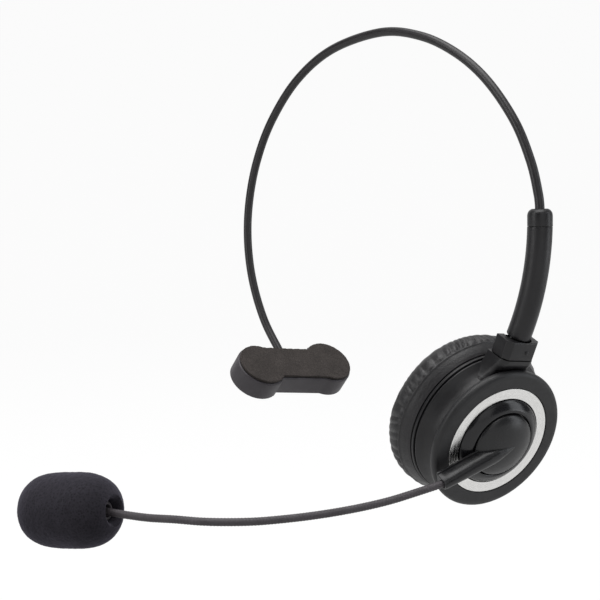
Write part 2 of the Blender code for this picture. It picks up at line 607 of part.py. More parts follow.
# ---------------------------------------------------------------- boom
boom_dir = hub_dir
root0 = CUP_C + hub_dir * (NECK_END - 6.5) + CUP_N * 6.0
root1 = CUP_C + hub_dir * (NECK_END - 0.5) + CUP_N * 6.0
keys = [tuple(root0), tuple(root0.lerp(root1, 0.5)), tuple(root1)] + BOOM_KEYS[1:]
BEND_GAP = 0.006
boom_rear_line = spline(keys, 15, 0.0, BEND_AT - BEND_GAP)
boom_front_line = spline(keys, 20, BEND_AT + BEND_GAP, 1.0)
bend_p = spline(keys, 3, BEND_AT - 0.001, BEND_AT + 0.001)[1]
boom_rear = pipe("boom_sheath_rear", [point(p) for p in boom_rear_line], BOOM_R, 0.36, FLEX)
boom_front = pipe("boom_sheath_front", [point(p) for p in boom_front_line], BOOM_R, 0.36, FLEX)
wire_rear = wire("boom_wire_rear", [point(p) for p in boom_rear_line[1:]], 0.55, STEEL, 1)
front_end = BOOM_KEYS[-1]
wire_front = wire("boom_wire_front", [point(p) for p in boom_front_line], 0.55, STEEL, 1)
tang = (boom_front_line[1] - boom_rear_line[-2]).normalized()
side = tang.cross(Vector((0, 0, 1))).normalized()
BEND = place(bend_p, tang, side * -1, tang.cross(side * -1))
p_bend = pivot("boom_bend_pivot", BEND, p_boom)

# ---------------------------------------------------------------- microphone
f_side = FOAM_AXIS.cross(Vector((0, 0, 1))).normalized()
MIC = place(FOAM_MID, f_side, FOAM_AXIS.cross(f_side), FOAM_AXIS)   # Z toward the boom
prof = []
for i in range(13):                                   # rounded cylinder, rear to front
    a = math.pi * (0.5 - i / 12.0)
    s, c = math.sin(a), math.cos(a)
    prof.append((FOAM_R * abs(c) ** 0.76, FOAM_HALF * (abs(s) ** 0.64) * (1 if s > 0 else -1)))
prof[0] = (4.6, FOAM_HALF - 1.0)
prof[-1] = (0.0, -FOAM_HALF)
bore = [(0.0, -11.2), (4.0, -11.2), (4.0, 13.0), (4.3, FOAM_HALF - 1.8)]
windscreen = turned("windscreen_foam", bore + prof, MIC, FOAM, 24)
mic_house = turned("mic_housing", [(2.0, 14.3), (2.9, 14.0), (3.4, 13.1), (3.5, 10.7), (3.5, -10.0),
                                   (2.55, -10.4), (2.55, -4.2), (1.2, -4.2), (1.2, 7.6), (2.0, 7.6)],
                   MIC, SATIN, 20, True)
mic_capsule = turned("mic_capsule", [(0.0, -4.6), (2.2, -4.6), (2.2, -10.0), (1.6, -10.3), (0.0, -10.3)],
                     MIC, STEEL, 20)

# ---------------------------------------------------------------- cup insides
board = turned("circuit_board", [(18.0, -4.3), (18.0, -5.2), (6.0, -5.2), (6.0, -4.3)],
               CUP, BOARD, 32, True)
battery = block("battery", (20.0, 12.0, 2.4), offset(CUP, -1.5, 0.0, -6.9), CELL, 0.5)
port = block("charge_port", (8.0, 2.5, 5.0), offset(port_at, 0, 0, -1.6), STEEL, 0.4)
port_mouth = block("port_mouth", (6.9, 1.7, 4.0), offset(port_at, 0, 0, -0.5), None, where=tools)
cut(port, port_mouth)
magnet = turned("speaker_driver", [(0.0, -8.55), (7.0, -8.55), (7.2, -10.6), (12.9, -11.0),
                                   (12.9, -12.3), (12.1, -12.3), (12.1, -11.4), (6.2, -11.2),
                                   (0.0, -11.2)], CUP, STEEL, 32)
film = turned("speaker_diaphragm", [(0.0, -11.5), (4.5, -11.65), (11.7, -11.75), (11.7, -12.05),
                                    (4.5, -11.95), (0.0, -11.8)], CUP, FILM, 24)
baffle = turned("speaker_baffle", [(0.0, -12.65), (13.2, -12.65), (13.2, -11.2), (14.2, -11.2),
                                   (14.2, -12.5), (21.5, -12.5), (21.5, -11.65), (26.2, -11.65),
                                   (26.2, -12.75), (24.0, -12.75), (24.0, -13.4), (0.0, -13.4)],
                CUP, SATIN)
vents = []
for k in range(5):                                    # sound holes over the driver
    a = math.radians(72 * k + 15)
    vents.append(rod("vent_%d" % k, 1.5, 3.0, offset(CUP, 6.6 * math.cos(a), 6.6 * math.sin(a), -13.0),
                     None, 8, where=tools))
cut(baffle, *vents)
case_screws, case_holes, notches, bosses, boss_bores = [], [], [], [], []
for k in range(3):
    a = math.radians(120 * k + 110)
    at = offset(CUP, 17.6 * math.cos(a), 17.6 * math.sin(a), 0)
    case_holes.append(rod("case_hole_%d" % k, 1.1, 4.0, offset(at, z=-13.0), None, 12, where=tools))
    s = turned("case_screw_%s" % "abc"[k], [(0.0, -5.6), (0.6, -5.9), (0.6, -13.75), (1.7, -13.75),
                                            (1.7, -14.4), (0.0, -14.5)], at, STEEL, 12)
    bosses.append(rod("boss_%d" % k, 1.8, 7.5, offset(at, z=-5.75), None, 12, where=tools))
    boss_bores.append(rod("boss_bore_%d" % k, 0.92, 6.0, offset(at, z=-8.0), None, 10, where=tools))
    notches.append(rod("board_notch_%d" % k, 2.4, 3.0, offset(at, z=-4.8), None, 12, where=tools))
    case_screws.append(s)
cut(baffle, *case_holes)
join(plate_ob, *bosses)
cut(plate_ob, *boss_bores)
cut(board, *notches)
scrim = turned("ear_scrim", [(0.0, -14.75), (15.2, -14.75), (15.2, -15.05), (0.0, -15.05)],
               CUP, CLOTH, 24)
cushion = turned("ear_cushion", [(26.3, -13.1), (27.5, -14.6), (28.5, -17.2), (28.85, -19.6),
                                 (28.6, -22.3), (27.4, -24.6), (25.4, -25.8), (23.0, -26.2),
                                 (18.6, -26.2), (16.0, -25.2), (14.6, -23.0), (14.3, -19.0),
                                 (15.6, -15.4), (19.5, -14.9), (24.4, -14.9), (24.4, -13.1)],
                 CUP, LEATHER, CUP_SEG, True)

ride(p_swivel, yoke, housing, plate_ob, accent, led, board, battery, port, magnet, film,
     baffle, scrim, cushion, *case_screws, *switch_objs, *button_objs)
ride(p_boom, hub_base, hub_ring, hub, boom_rear, wire_rear)
ride(p_bend, boom_front, wire_front, windscreen, mic_house, mic_capsule)
bpy.context.view_layer.update()
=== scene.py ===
import json
import math

import bmesh
import bpy
import numpy as np
from mathutils import Matrix, Vector

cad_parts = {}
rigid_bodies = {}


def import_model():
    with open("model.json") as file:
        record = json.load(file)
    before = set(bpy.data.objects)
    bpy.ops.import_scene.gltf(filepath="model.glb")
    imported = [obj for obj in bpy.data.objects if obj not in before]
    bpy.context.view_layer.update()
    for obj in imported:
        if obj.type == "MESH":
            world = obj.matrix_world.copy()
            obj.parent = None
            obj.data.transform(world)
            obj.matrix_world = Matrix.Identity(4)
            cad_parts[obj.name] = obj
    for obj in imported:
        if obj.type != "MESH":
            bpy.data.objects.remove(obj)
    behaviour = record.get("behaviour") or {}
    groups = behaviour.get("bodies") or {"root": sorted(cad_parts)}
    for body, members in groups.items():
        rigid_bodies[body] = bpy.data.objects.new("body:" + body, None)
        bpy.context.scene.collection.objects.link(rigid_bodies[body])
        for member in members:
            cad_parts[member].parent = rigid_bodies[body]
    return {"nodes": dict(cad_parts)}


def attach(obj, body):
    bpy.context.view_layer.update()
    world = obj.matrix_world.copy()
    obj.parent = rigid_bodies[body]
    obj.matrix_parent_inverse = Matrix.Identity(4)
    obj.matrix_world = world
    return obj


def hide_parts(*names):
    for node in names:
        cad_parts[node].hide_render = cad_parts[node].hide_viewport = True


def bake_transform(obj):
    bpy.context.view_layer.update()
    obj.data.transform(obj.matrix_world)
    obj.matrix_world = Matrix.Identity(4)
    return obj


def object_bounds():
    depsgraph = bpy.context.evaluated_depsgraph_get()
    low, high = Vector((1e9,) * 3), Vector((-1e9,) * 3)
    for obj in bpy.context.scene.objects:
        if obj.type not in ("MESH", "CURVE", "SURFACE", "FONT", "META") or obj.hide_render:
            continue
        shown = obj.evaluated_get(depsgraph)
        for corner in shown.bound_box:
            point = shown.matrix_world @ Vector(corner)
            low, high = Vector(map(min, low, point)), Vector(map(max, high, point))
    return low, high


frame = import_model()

CAD_LO, CAD_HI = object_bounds()
MM = 0.001
scene = bpy.context.scene
NODES = frame["nodes"]

# ------------------------------------------------------------------ frames
# The same local frames as the model: millimetres from the arc's centre.
ORIGIN_DROP = 68.55


def point(p):
    return Vector((p[0], p[1], p[2] - ORIGIN_DROP)) * MM


def place(origin, x, y, z):
    o = point(origin)
    x, y, z = Vector(x).normalized(), Vector(y).normalized(), Vector(z).normalized()
    return Matrix(((x.x, y.x, z.x, o.x), (x.y, y.y, z.y, o.y), (x.z, y.z, z.z, o.z), (0, 0, 0, 1)))


def offset(m, x=0.0, y=0.0, z=0.0):
    return m @ Matrix.Translation(Vector((x, y, z)) * MM)


BAND_KEYS = [(-133.0, 69.9), (-120.0, 70.0), (-106.5, 70.05), (-93.6, 70.0),
             (-81.0, 69.77), (-67.6, 69.63), (-53.4, 69.7), (-37.0, 70.09),
             (-20.0, 70.08), (0.0, 70.1), (15.6, 69.95), (30.0, 69.72),
             (43.6, 69.71), (58.3, 69.99), (70.3, 70.33), (79.0, 70.62)]
ARM_CX, ARM_CZ, ARM_R = -16.87, 3.515, 87.12
ARM_TOP, CAP_BOTTOM, ARM_END = 86.9, 90.7, 115.0
SHOE_A, SHOE_B = 108.6, 111.6
CUP_N = Vector((0.90563, -0.20112, -0.37333))
CUP_W = Vector((0.38112, 0.0, 0.92453))
CUP_V = Vector((0.18595, 0.97957, -0.07664))
CUP_C = Vector((53.965, 0.0, -69.116))
PIN_DROP = 2.2
BLOCK_W0, BLOCK_W1 = 29.35, 35.7
HUB_TURN, HUB_R, NECK_END = 207.6, 11.3, 26.3
BOOM_R = 1.28
BOOM_KEYS = [(50.4, -24.0, -80.8), (47.2, -32.9, -82.8), (44.2, -42.0, -84.6),
             (41.2, -51.1, -85.8), (38.1, -60.2, -86.6), (34.9, -68.9, -87.1),
             (31.4, -77.1, -87.4), (27.3, -84.8, -87.6), (22.6, -91.7, -87.5),
             (16.3, -97.4, -87.45), (8.2, -101.5, -87.4), (-1.6, -104.4, -87.95),
             (-10.7, -107.5, -87.75), (-14.9, -108.95, -87.5), (-19.2, -110.4, -87.5)]
BEND_AT = 0.40
FOAM_MID = Vector((-29.0, -113.85, -88.25))
FOAM_AXIS = Vector((0.940, 0.331, 0.078)).normalized()
FOAM_HALF, FOAM_R = 17.3, 12.3
BAR_PITCH, BAR_YAW, BAR_ROLL = 47.9, -6.1, -2.3
BAR_HALF, BAR_LOBE, BAR_WAIST, BAR_FLAT = 15.4, 9.72, 6.95, 8.7
BAR_MID_X, BAR_MID_Y = 1.31, -7.82
BAR_BACK, BAR_RIM, PAD_FACE, BAR_WALL = -5.45, 2.7, 3.98, 1.4


def arm_at(deg, y=0.0):
    a = math.radians(deg)
    return (Vector((ARM_CX + ARM_R * math.sin(a), y, ARM_CZ + ARM_R * math.cos(a))),
            Vector((math.cos(a), 0.0, -math.sin(a))))


def cup_pt(v, w, h):
    return CUP_C + CUP_V * v + CUP_W * w + CUP_N * h


CUP = place(CUP_C, CUP_V, CUP_W, CUP_N)
END, END_DIR = arm_at(ARM_END)
TILT_P = END + END_DIR * PIN_DROP
AXIS_V, AXIS_H = (TILT_P - CUP_C).dot(CUP_V), (TILT_P - CUP_C).dot(CUP_N)
AXIS = place(cup_pt(AXIS_V, 0, AXIS_H), CUP_V, CUP_N * -1, CUP_W)
PIN_W = (TILT_P - cup_pt(AXIS_V, 0, AXIS_H)).dot(CUP_W)
BLK = offset(AXIS, -0.3, 0, 0)
HUB_DIR = CUP_V * math.cos(math.radians(HUB_TURN)) + CUP_W * math.sin(math.radians(HUB_TURN))
HUB = place(CUP_C, HUB_DIR, CUP_N.cross(HUB_DIR), CUP_N)
b_p, b_y, b_r = (math.radians(x) for x in (BAR_PITCH, BAR_YAW, BAR_ROLL))
BAR_N = Vector((math.cos(b_p) * math.cos(b_y), math.cos(b_p) * math.sin(b_y), math.sin(b_p)))
b_along = Vector((-math.sin(b_y), math.cos(b_y), 0.0))
b_across = BAR_N.cross(b_along)
BAR_X = b_along * math.cos(b_r) + b_across * math.sin(b_r)
BAR_Y = b_across * math.cos(b_r) - b_along * math.sin(b_r)
phi0 = math.radians(BAND_KEYS[0][0])
BAND_END = Vector((BAND_KEYS[0][1] * math.sin(phi0), 0, BAND_KEYS[0][1] * math.cos(phi0)))
WIRE_UP = Vector((math.cos(phi0), 0, -math.sin(phi0)))
BAR = place(BAND_END, BAR_X, BAR_Y, BAR_N)
ENTRY = place(BAND_END, (0, 1, 0), WIRE_UP.cross(Vector((0, 1, 0))), WIRE_UP)
f_side = FOAM_AXIS.cross(Vector((0, 0, 1))).normalized()
MIC = place(FOAM_MID, f_side, FOAM_AXIS.cross(f_side), FOAM_AXIS)


def rim_frame(deg, r, h):
    a = math.radians(deg)
    out = CUP_V * math.cos(a) + CUP_W * math.sin(a)
    return place(CUP_C + out * r + CUP_N * h, CUP_N.cross(out), CUP_N, out)


# ------------------------------------------------------------------ numbers
def hash01(ix, iy, iz, seed):
    h = (ix.astype(np.int64) * 374761393 + iy.astype(np.int64) * 668265263
         + iz.astype(np.int64) * 2147483647 + seed * 974634777)
    h = (h ^ (h >> 13)) * 1274126177
    h = h & 0x7FFFFFFF
    h = (h ^ (h >> 16)) & 0xFFFFFF
    return h / float(0xFFFFFF)


def noise(p, size, seed=1):
    """Smooth value noise in -1..1 of points in mm, with features of that size."""
    q = np.asarray(p, float) / size + 1000.0
    i = np.floor(q).astype(np.int64)
    f = q - i
    f = f * f * (3 - 2 * f)
    out = 0.0
    for dx in (0, 1):
        for dy in (0, 1):
            for dz in (0, 1):
                w = ((f[:, 0] if dx else 1 - f[:, 0]) * (f[:, 1] if dy else 1 - f[:, 1])
                     * (f[:, 2] if dz else 1 - f[:, 2]))
                out = out + w * hash01(i[:, 0] + dx, i[:, 1] + dy, i[:, 2] + dz, seed)
    return out * 2 - 1


def spline(keys, count, t0=0.0, t1=1.0):
    k = [Vector(p) for p in keys]
    k = [k[0] * 2 - k[1]] + k + [k[-1] * 2 - k[-2]]
    dense = []
    for i in range(1, len(k) - 2):
        for j in range(24):
            t = j / 24.0
            a, b, c, d = k[i - 1], k[i], k[i + 1], k[i + 2]
            dense.append(0.5 * ((2 * b) + (c - a) * t + (2 * a - 5 * b + 4 * c - d) * t * t
                                + (3 * b - a - 3 * c + d) * t ** 3))
    dense.append(k[-2])
    d = np.array([tuple(p) for p in dense])
    run = np.concatenate([[0], np.cumsum(np.linalg.norm(np.diff(d, axis=0), axis=1))])
    s = np.linspace(t0, t1, count) * run[-1]
    return [Vector((np.interp(x, run, d[:, 0]), np.interp(x, run, d[:, 1]),
                    np.interp(x, run, d[:, 2]))) for x in s]


def rounded(profile, rad=0.2, n=4, closed=False):
    """The (r, h[, radius]) profile with each corner filleted."""
    out, total = [], len(profile)
    for i, p in enumerate(profile):
        want = p[2] if len(p) > 2 else rad
        b = np.array(p[:2], float)
        if not closed and i in (0, total - 1):
            out.append(tuple(b))
            continue
        a = np.array(profile[i - 1][:2], float)
        c = np.array(profile[(i + 1) % total][:2], float)
        u, v = a - b, c - b
        lu, lv = np.linalg.norm(u), np.linalg.norm(v)
        u, v = u / lu, v / lv
        ang = math.acos(max(-1.0, min(1.0, float(u @ v))))
        if math.pi - ang < math.radians(1.0) or want <= 0:
            out.append(tuple(b))
            continue
        d = min(want / math.tan(ang / 2), 0.46 * lu, 0.46 * lv)
        r = d * math.tan(ang / 2)
        mid = b + (u + v) / np.linalg.norm(u + v) * (r / math.sin(ang / 2))
        p0, p1 = b + u * d - mid, b + v * d - mid
        a0, a1 = math.atan2(p0[1], p0[0]), math.atan2(p1[1], p1[0])
        turn = (a1 - a0 + math.pi) % (2 * math.pi) - math.pi
        for k in range(n + 1):
            t = a0 + turn * k / n
            out.append((mid[0] + r * math.cos(t), mid[1] + r * math.sin(t)))
    return out


def evened(profile, step, closed=False):
    """The profile with points no further apart than step."""
    out = []
    pairs = list(zip(profile, profile[1:] + ([profile[0]] if closed else [])))
    if closed:
        pairs = pairs[:len(profile)]
    for a, b in pairs:
        count = max(1, int(math.ceil(math.hypot(b[0] - a[0], b[1] - a[1]) / step)))
        for k in range(count):
            t = k / count
            out.append((a[0] + (b[0] - a[0]) * t, a[1] + (b[1] - a[1]) * t))
    if not closed:
        out.append(profile[-1])
    return out


# ------------------------------------------------------------------ meshes
def ring_mesh(name, rings, closed=False):
    """Closed surface through rings of points (count, around, 3), in mm."""
    rings = np.asarray(rings, float) * MM
    m, seg, _ = rings.shape
    verts, idx = [], np.zeros((m, seg), int)
    for i in range(m):
        if np.ptp(rings[i], axis=0).max() < 1e-9:
            idx[i] = len(verts)
            verts.append(tuple(rings[i][0]))
        else:
            idx[i] = len(verts) + np.arange(seg)
            verts.extend(map(tuple, rings[i]))
    faces = []
    for i in range(m if closed else m - 1):
        a, b = idx[i], idx[(i + 1) % m]
        a2, b2 = np.roll(a, -1), np.roll(b, -1)
        if a[0] == a[1]:
            faces.extend(zip(a.tolist(), b2.tolist(), b.tolist()))
        elif b[0] == b[1]:
            faces.extend(zip(a.tolist(), a2.tolist(), b.tolist()))
        else:
            faces.extend(zip(a.tolist(), a2.tolist(), b2.tolist(), b.tolist()))
    me = bpy.data.meshes.new(name)
    me.from_pydata(verts, [], faces)
    return facing_out(me)


def facing_out(me):
    bm = bmesh.new()
    bm.from_mesh(me)
    bmesh.ops.recalc_face_normals(bm, faces=bm.faces)
    if bm.calc_volume(signed=True) < 0:
        bmesh.ops.reverse_faces(bm, faces=bm.faces)
    bm.to_mesh(me)
    bm.free()
    return me


def lathe(name, profile, seg=160, closed=False, shape=None):
    p = np.array([q[:2] for q in profile], float)
    t = np.arange(seg) * 2 * math.pi / seg
    rings = np.zeros((len(p), seg, 3))
    rings[:, :, 0] = p[:, :1] * np.cos(t)
    rings[:, :, 1] = p[:, :1] * np.sin(t)
    rings[:, :, 2] = p[:, 1:]
    if shape:
        rings = shape(rings, t, p)
    return ring_mesh(name, rings, closed)


class Path:
    """A smooth line with a steady frame along it; points in mm."""

    def __init__(self, pts):
        self.p = np.array([tuple(q) for q in pts], float)
        seg = np.diff(self.p, axis=0)
        self.s = np.concatenate([[0], np.cumsum(np.linalg.norm(seg, axis=1))])
        self.length = self.s[-1]
        t = np.gradient(self.p, self.s, axis=0)
        self.t = t / np.linalg.norm(t, axis=1)[:, None]
        n = np.cross(self.t[0], (0.0, 1.0, 0.2))
        n /= np.linalg.norm(n)
        ns = [n]
        for k in range(1, len(self.p)):
            n = ns[-1] - self.t[k] * (ns[-1] @ self.t[k])
            ns.append(n / np.linalg.norm(n))
        self.n = np.array(ns)

    def at(self, s):
        s = np.asarray(s, float)

        def pick(a):
            return np.stack([np.interp(s, self.s, a[:, i]) for i in range(3)], -1)
        t = pick(self.t)
        t /= np.linalg.norm(t, axis=-1, keepdims=True)
        n = pick(self.n)
        n -= t * (n * t).sum(-1, keepdims=True)
        n /= np.linalg.norm(n, axis=-1, keepdims=True)
        p = pick(self.p) + t * (s - np.clip(s, 0, self.length))[..., None]
        return p, n, np.cross(t, n)


def swept(name, path, rings, seg=32, closed=False):
    """A round piece along a path from (distance, radius) rings."""
    s, r = np.array([q[0] for q in rings], float), np.array([q[1] for q in rings], float)
    p, n, b = path.at(s)
    t = np.arange(seg) * 2 * math.pi / seg
    out = (p[:, None] + r[:, None, None] * (np.cos(t)[None, :, None] * n[:, None]
                                            + np.sin(t)[None, :, None] * b[:, None]))
    return ring_mesh(name, out, closed)


def hollow(length, ro, ri, fillet=0.3, step=1.0, start=0.0, ribs=None):
    """Rings of a tube: out along its outside and back along its inside."""
    outer = evened(rounded([(start + 0.001, (ro + ri) / 2), (start, ro), (start + length, ro),
                            (start + length, ri), (start, ri), (start, (ro + ri) / 2 - 0.01)],
                           fillet, 4), step)
    if ribs:
        outer = [(s, ribs(s, r)) for s, r in outer]
    return outer


def outline_mesh(name, outline, z0, z1):
    bm = bmesh.new()
    low = [bm.verts.new((x * MM, y * MM, z0 * MM)) for x, y in outline]
    top = [bm.verts.new((x * MM, y * MM, z1 * MM)) for x, y in outline]
    bm.faces.new(low)
    bm.faces.new(top)
    k = len(outline)
    for i in range(k):
        bm.faces.new((low[i], low[(i + 1) % k], top[(i + 1) % k], top[i]))
    bmesh.ops.recalc_face_normals(bm, faces=bm.faces)
    me = bpy.data.meshes.new(name)
    bm.to_mesh(me)
    bm.free()
    return facing_out(me)


def box_mesh(name, size):
    bm = bmesh.new()
    bmesh.ops.create_cube(bm, size=1.0)
    bmesh.ops.scale(bm, vec=Vector(size) * MM, verts=bm.verts)
    me = bpy.data.meshes.new(name)
    bm.to_mesh(me)
    bm.free()
    return me


def rod_mesh(name, r, length, seg=48, r_top=None):
    bm = bmesh.new()
    bmesh.ops.create_cone(bm, cap_ends=True, segments=seg, radius1=r * MM,
                          radius2=(r if r_top is None else r_top) * MM, depth=length * MM)
    me = bpy.data.meshes.new(name)
    bm.to_mesh(me)
    bm.free()
    return me


shop = bpy.data.collections.new("shop")
scene.collection.children.link(shop)


def temp(me, m):
    ob = bpy.data.objects.new("t_" + me.name, me)
    shop.objects.link(ob)
    ob.matrix_world = m
    return ob


def bevel(width, segments=3, angle=40):
    def do(ob):
        b = ob.modifiers.new("b", 'BEVEL')
        b.width = width * MM
        b.segments = segments
        b.limit_method = 'ANGLE'
        b.angle_limit = math.radians(angle)
    return do


def cutter(me, m, kind='DIFFERENCE'):
    def do(ob):
        b = ob.modifiers.new("c", 'BOOLEAN')
        b.operation = kind
        b.solver = 'EXACT'
        b.object = temp(me, m)
    return do


def adder(me, m):
    return cutter(me, m, 'UNION')


def remesh(size, rounds=6, factor=0.5):
    def do(ob):
        r = ob.modifiers.new("r", 'REMESH')
        r.mode = 'VOXEL'
        r.voxel_size = size * MM
        if rounds:
            s = ob.modifiers.new("s", 'SMOOTH')
            s.factor = factor
            s.iterations = rounds
    return do


def worked(me, m, *steps):
    """The mesh after the given steps, in the same local frame."""
    ob = temp(me, m)
    for s in steps:
        s(ob)
    bpy.context.view_layer.update()
    dg = bpy.context.evaluated_depsgraph_get()
    out = bpy.data.meshes.new_from_object(ob.evaluated_get(dg))
    out.name = me.name
    for o in list(shop.objects):
        bpy.data.objects.remove(o, do_unlink=True)
    return out


def piece(name, me, m, mats, body, nodes=(), sharp=38.0, ride=True):
    ob = bpy.data.objects.new(name, me)
    scene.collection.objects.link(ob)
    ob.matrix_world = m
    me.materials.clear()
    for mat in (mats if isinstance(mats, (list, tuple)) else [mats]):
        me.materials.append(mat)
    me.shade_smooth()
    me.set_sharp_from_angle(angle=math.radians(sharp))
    if ride:
        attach(ob, body)
    if nodes:
        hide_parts(*nodes)
    return ob


def coords(me):
    co = np.zeros(len(me.vertices) * 3)
    me.vertices.foreach_get("co", co)
    return co.reshape(-1, 3) / MM


def normals(me):
    no = np.zeros(len(me.vertices) * 3)
    me.vertices.foreach_get("normal", no)
    return no.reshape(-1, 3)


def moved(me, co):
    me.vertices.foreach_set("co", (co * MM).astype(np.float32).ravel())
    me.update()


# ------------------------------------------------------------------ materials
class Mat:
    """A node material built up step by step, in the piece's own space."""

    def __init__(self, name, colour, rough, metal=0.0, **sockets):
        self.m = bpy.data.materials.new(name)
        self.m.use_nodes = True
        self.t = self.m.node_tree
        self.b = self.t.nodes["Principled BSDF"]
        self.colour, self.rough = colour, rough
        self.b.inputs["Base Color"].default_value = (*colour, 1)
        self.b.inputs["Roughness"].default_value = rough
        self.b.inputs["Metallic"].default_value = metal
        for k, v in sockets.items():
            self.b.inputs[k.replace("_", " ")].default_value = v
        self.pos = self.t.nodes.new("ShaderNodeTexCoord").outputs["Object"]
        self.normal = None

    def node(self, kind, **props):
        n = self.t.nodes.new(kind)
        for k, v in props.items():
            setattr(n, k, v)
        return n

    def link(self, a, b):
        self.t.links.new(a, b)

    def noise(self, size, detail=3.0, rough=0.55, vec=None, distortion=0.0):
        n = self.node("ShaderNodeTexNoise")
        n.inputs["Scale"].default_value = 1.0 / (size * MM)
        n.inputs["Detail"].default_value = detail
        n.inputs["Roughness"].default_value = rough
        n.inputs["Distortion"].default_value = distortion
        self.link(vec or self.pos, n.inputs["Vector"])
        return n.outputs["Fac"]

    def cells(self, size, feature='F1', vec=None):
        n = self.node("ShaderNodeTexVoronoi", feature=feature)
        n.inputs["Scale"].default_value = 1.0 / (size * MM)
        self.link(vec or self.pos, n.inputs["Vector"])
        return n.outputs["Distance"]

    def ranged(self, fac, lo, hi, a=0.25, b=0.75):
        n = self.node("ShaderNodeMapRange")
        for k, v in (("From Min", a), ("From Max", b), ("To Min", lo), ("To Max", hi)):
            n.inputs[k].default_value = v
        self.link(fac, n.inputs["Value"])
        return n.outputs["Result"]

    def math(self, op, a, b):
        n = self.node("ShaderNodeMath", operation=op)
        for s, v in zip(n.inputs, (a, b)):
            if isinstance(v, (int, float)):
                s.default_value = v
            else:
                self.link(v, s)
        return n.outputs[0]

    def mix(self, fac, a, b):
        n = self.node("ShaderNodeMix", data_type='RGBA')
        if isinstance(fac, (int, float)):
            n.inputs[0].default_value = fac
        else:
            self.link(fac, n.inputs[0])
        for s, v in ((n.inputs[6], a), (n.inputs[7], b)):
            if isinstance(v, tuple):
                s.default_value = (*v, 1)
            else:
                self.link(v, s)
        return n.outputs[2]

    def bump(self, height, depth, strength=1.0):
        n = self.node("ShaderNodeBump")
        n.inputs["Strength"].default_value = strength
        n.inputs["Distance"].default_value = depth * MM
        self.link(height, n.inputs["Height"])
        if self.normal is not None:
            self.link(self.normal, n.inputs["Normal"])
        self.normal = n.outputs["Normal"]
        self.link(self.normal, self.b.inputs["Normal"])
        return self

    def paint(self, sock):
        self.link(sock, self.b.inputs["Base Color"])
        return self

    def gloss(self, sock):
        self.link(sock, self.b.inputs["Roughness"])
        return self

    def wear(self):
        """Where edges stick out: a soft mask from the surface's shape."""
        g = self.node("ShaderNodeNewGeometry")
        return self.ranged(g.outputs["Pointiness"], 0.0, 1.0, 0.56, 0.70)


def tinted(c, k):
    return tuple(min(1.0, x * k) for x in c)


def plastic(name, colour, rough, grain=0.28, depth=0.010, spread=0.07, tone=0.16, wear=0.35, **kw):
    m = Mat(name, colour, rough, **kw)
    slow = m.noise(9.0, 4.0)
    fine = m.noise(grain, 2.0)
    smear = m.noise(3.2, 5.0, 0.62, distortion=0.6)
    edge = m.wear()
    worn = m.math('MULTIPLY', edge, m.ranged(m.noise(1.4, 4.0), 0.0, wear * 0.5, 0.42, 0.62))
    base = m.mix(m.ranged(slow, 0.0, 1.0, 0.3, 0.7), tinted(colour, 1 - tone), tinted(colour, 1 + tone))
    m.paint(m.mix(worn, base, tinted(colour, 2.6)))
    r = m.math('ADD', m.ranged(smear, rough - spread, rough + spread, 0.3, 0.7),
               m.math('MULTIPLY', worn, 0.12))
    m.gloss(r)
    m.bump(fine, depth)
    return m.m


SATIN = plastic("moulded_satin_black", (0.0095, 0.0090, 0.0105), 0.40, 0.30, 0.012)
RIM = plastic("moulded_rim_black", (0.0155, 0.0155, 0.0170), 0.45, 0.26, 0.016)
GLOSS = plastic("polished_black", (0.0115, 0.0115, 0.0135), 0.20, 0.6, 0.003, 0.05, 0.12, 0.2)
HUBMAT = plastic("hub_semi_gloss_black", (0.0115, 0.0115, 0.0130), 0.31, 0.34, 0.005, 0.05, 0.10, 0.0)
ARM = plastic("arm_satin_black", (0.0100, 0.0095, 0.0112), 0.40, 0.30, 0.008)
COAT = plastic("band_coating", (0.022, 0.020, 0.022), 0.36, 0.35, 0.008)
GREY = plastic("temple_bar_grey", (0.064, 0.057, 0.064), 0.47, 0.24, 0.018)
BUTTON = plastic("button_black", (0.026, 0.025, 0.027), 0.42, 0.22, 0.014)
INNER = plastic("inner_black", (0.018, 0.018, 0.019), 0.5, 0.3, 0.01)


def rubber():
    m = Mat("boom_rubber", (0.070, 0.063, 0.069), 0.50)
    base = m.mix(m.ranged(m.noise(6.0, 4.0), 0, 1, 0.3, 0.7), (0.060, 0.053, 0.059), (0.081, 0.073, 0.080))
    m.paint(base)
    m.gloss(m.ranged(m.noise(1.3, 4.0), 0.45, 0.62))
    m.bump(m.noise(0.25, 3.0), 0.014)
    return m.m


def leather():
    m = Mat("soft_leatherette", (0.022, 0.021, 0.023), 0.42, Coat_Weight=0.12, Coat_Roughness=0.35)
    pores = m.cells(0.55)
    creases = m.cells(0.95, 'DISTANCE_TO_EDGE')
    slow = m.noise(7.0, 4.0)
    base = m.mix(m.ranged(slow, 0, 1, 0.3, 0.7), (0.0130, 0.0122, 0.0138), (0.0205, 0.0192, 0.0212))
    # painted shade: the grain's creases are darkened in the base colour, on top of their bump
    m.paint(m.mix(m.ranged(creases, 0.55, 0.0, 0.0, 0.09), base, (0.012, 0.0115, 0.0125)))
    m.gloss(m.math('ADD', m.ranged(m.noise(2.2, 5.0), 0.33, 0.48), m.ranged(creases, 0.14, 0.0, 0.0, 0.10)))
    m.bump(m.ranged(creases, 0.0, 1.0, 0.0, 0.16), 0.030)
    m.bump(pores, 0.016)
    return m.m


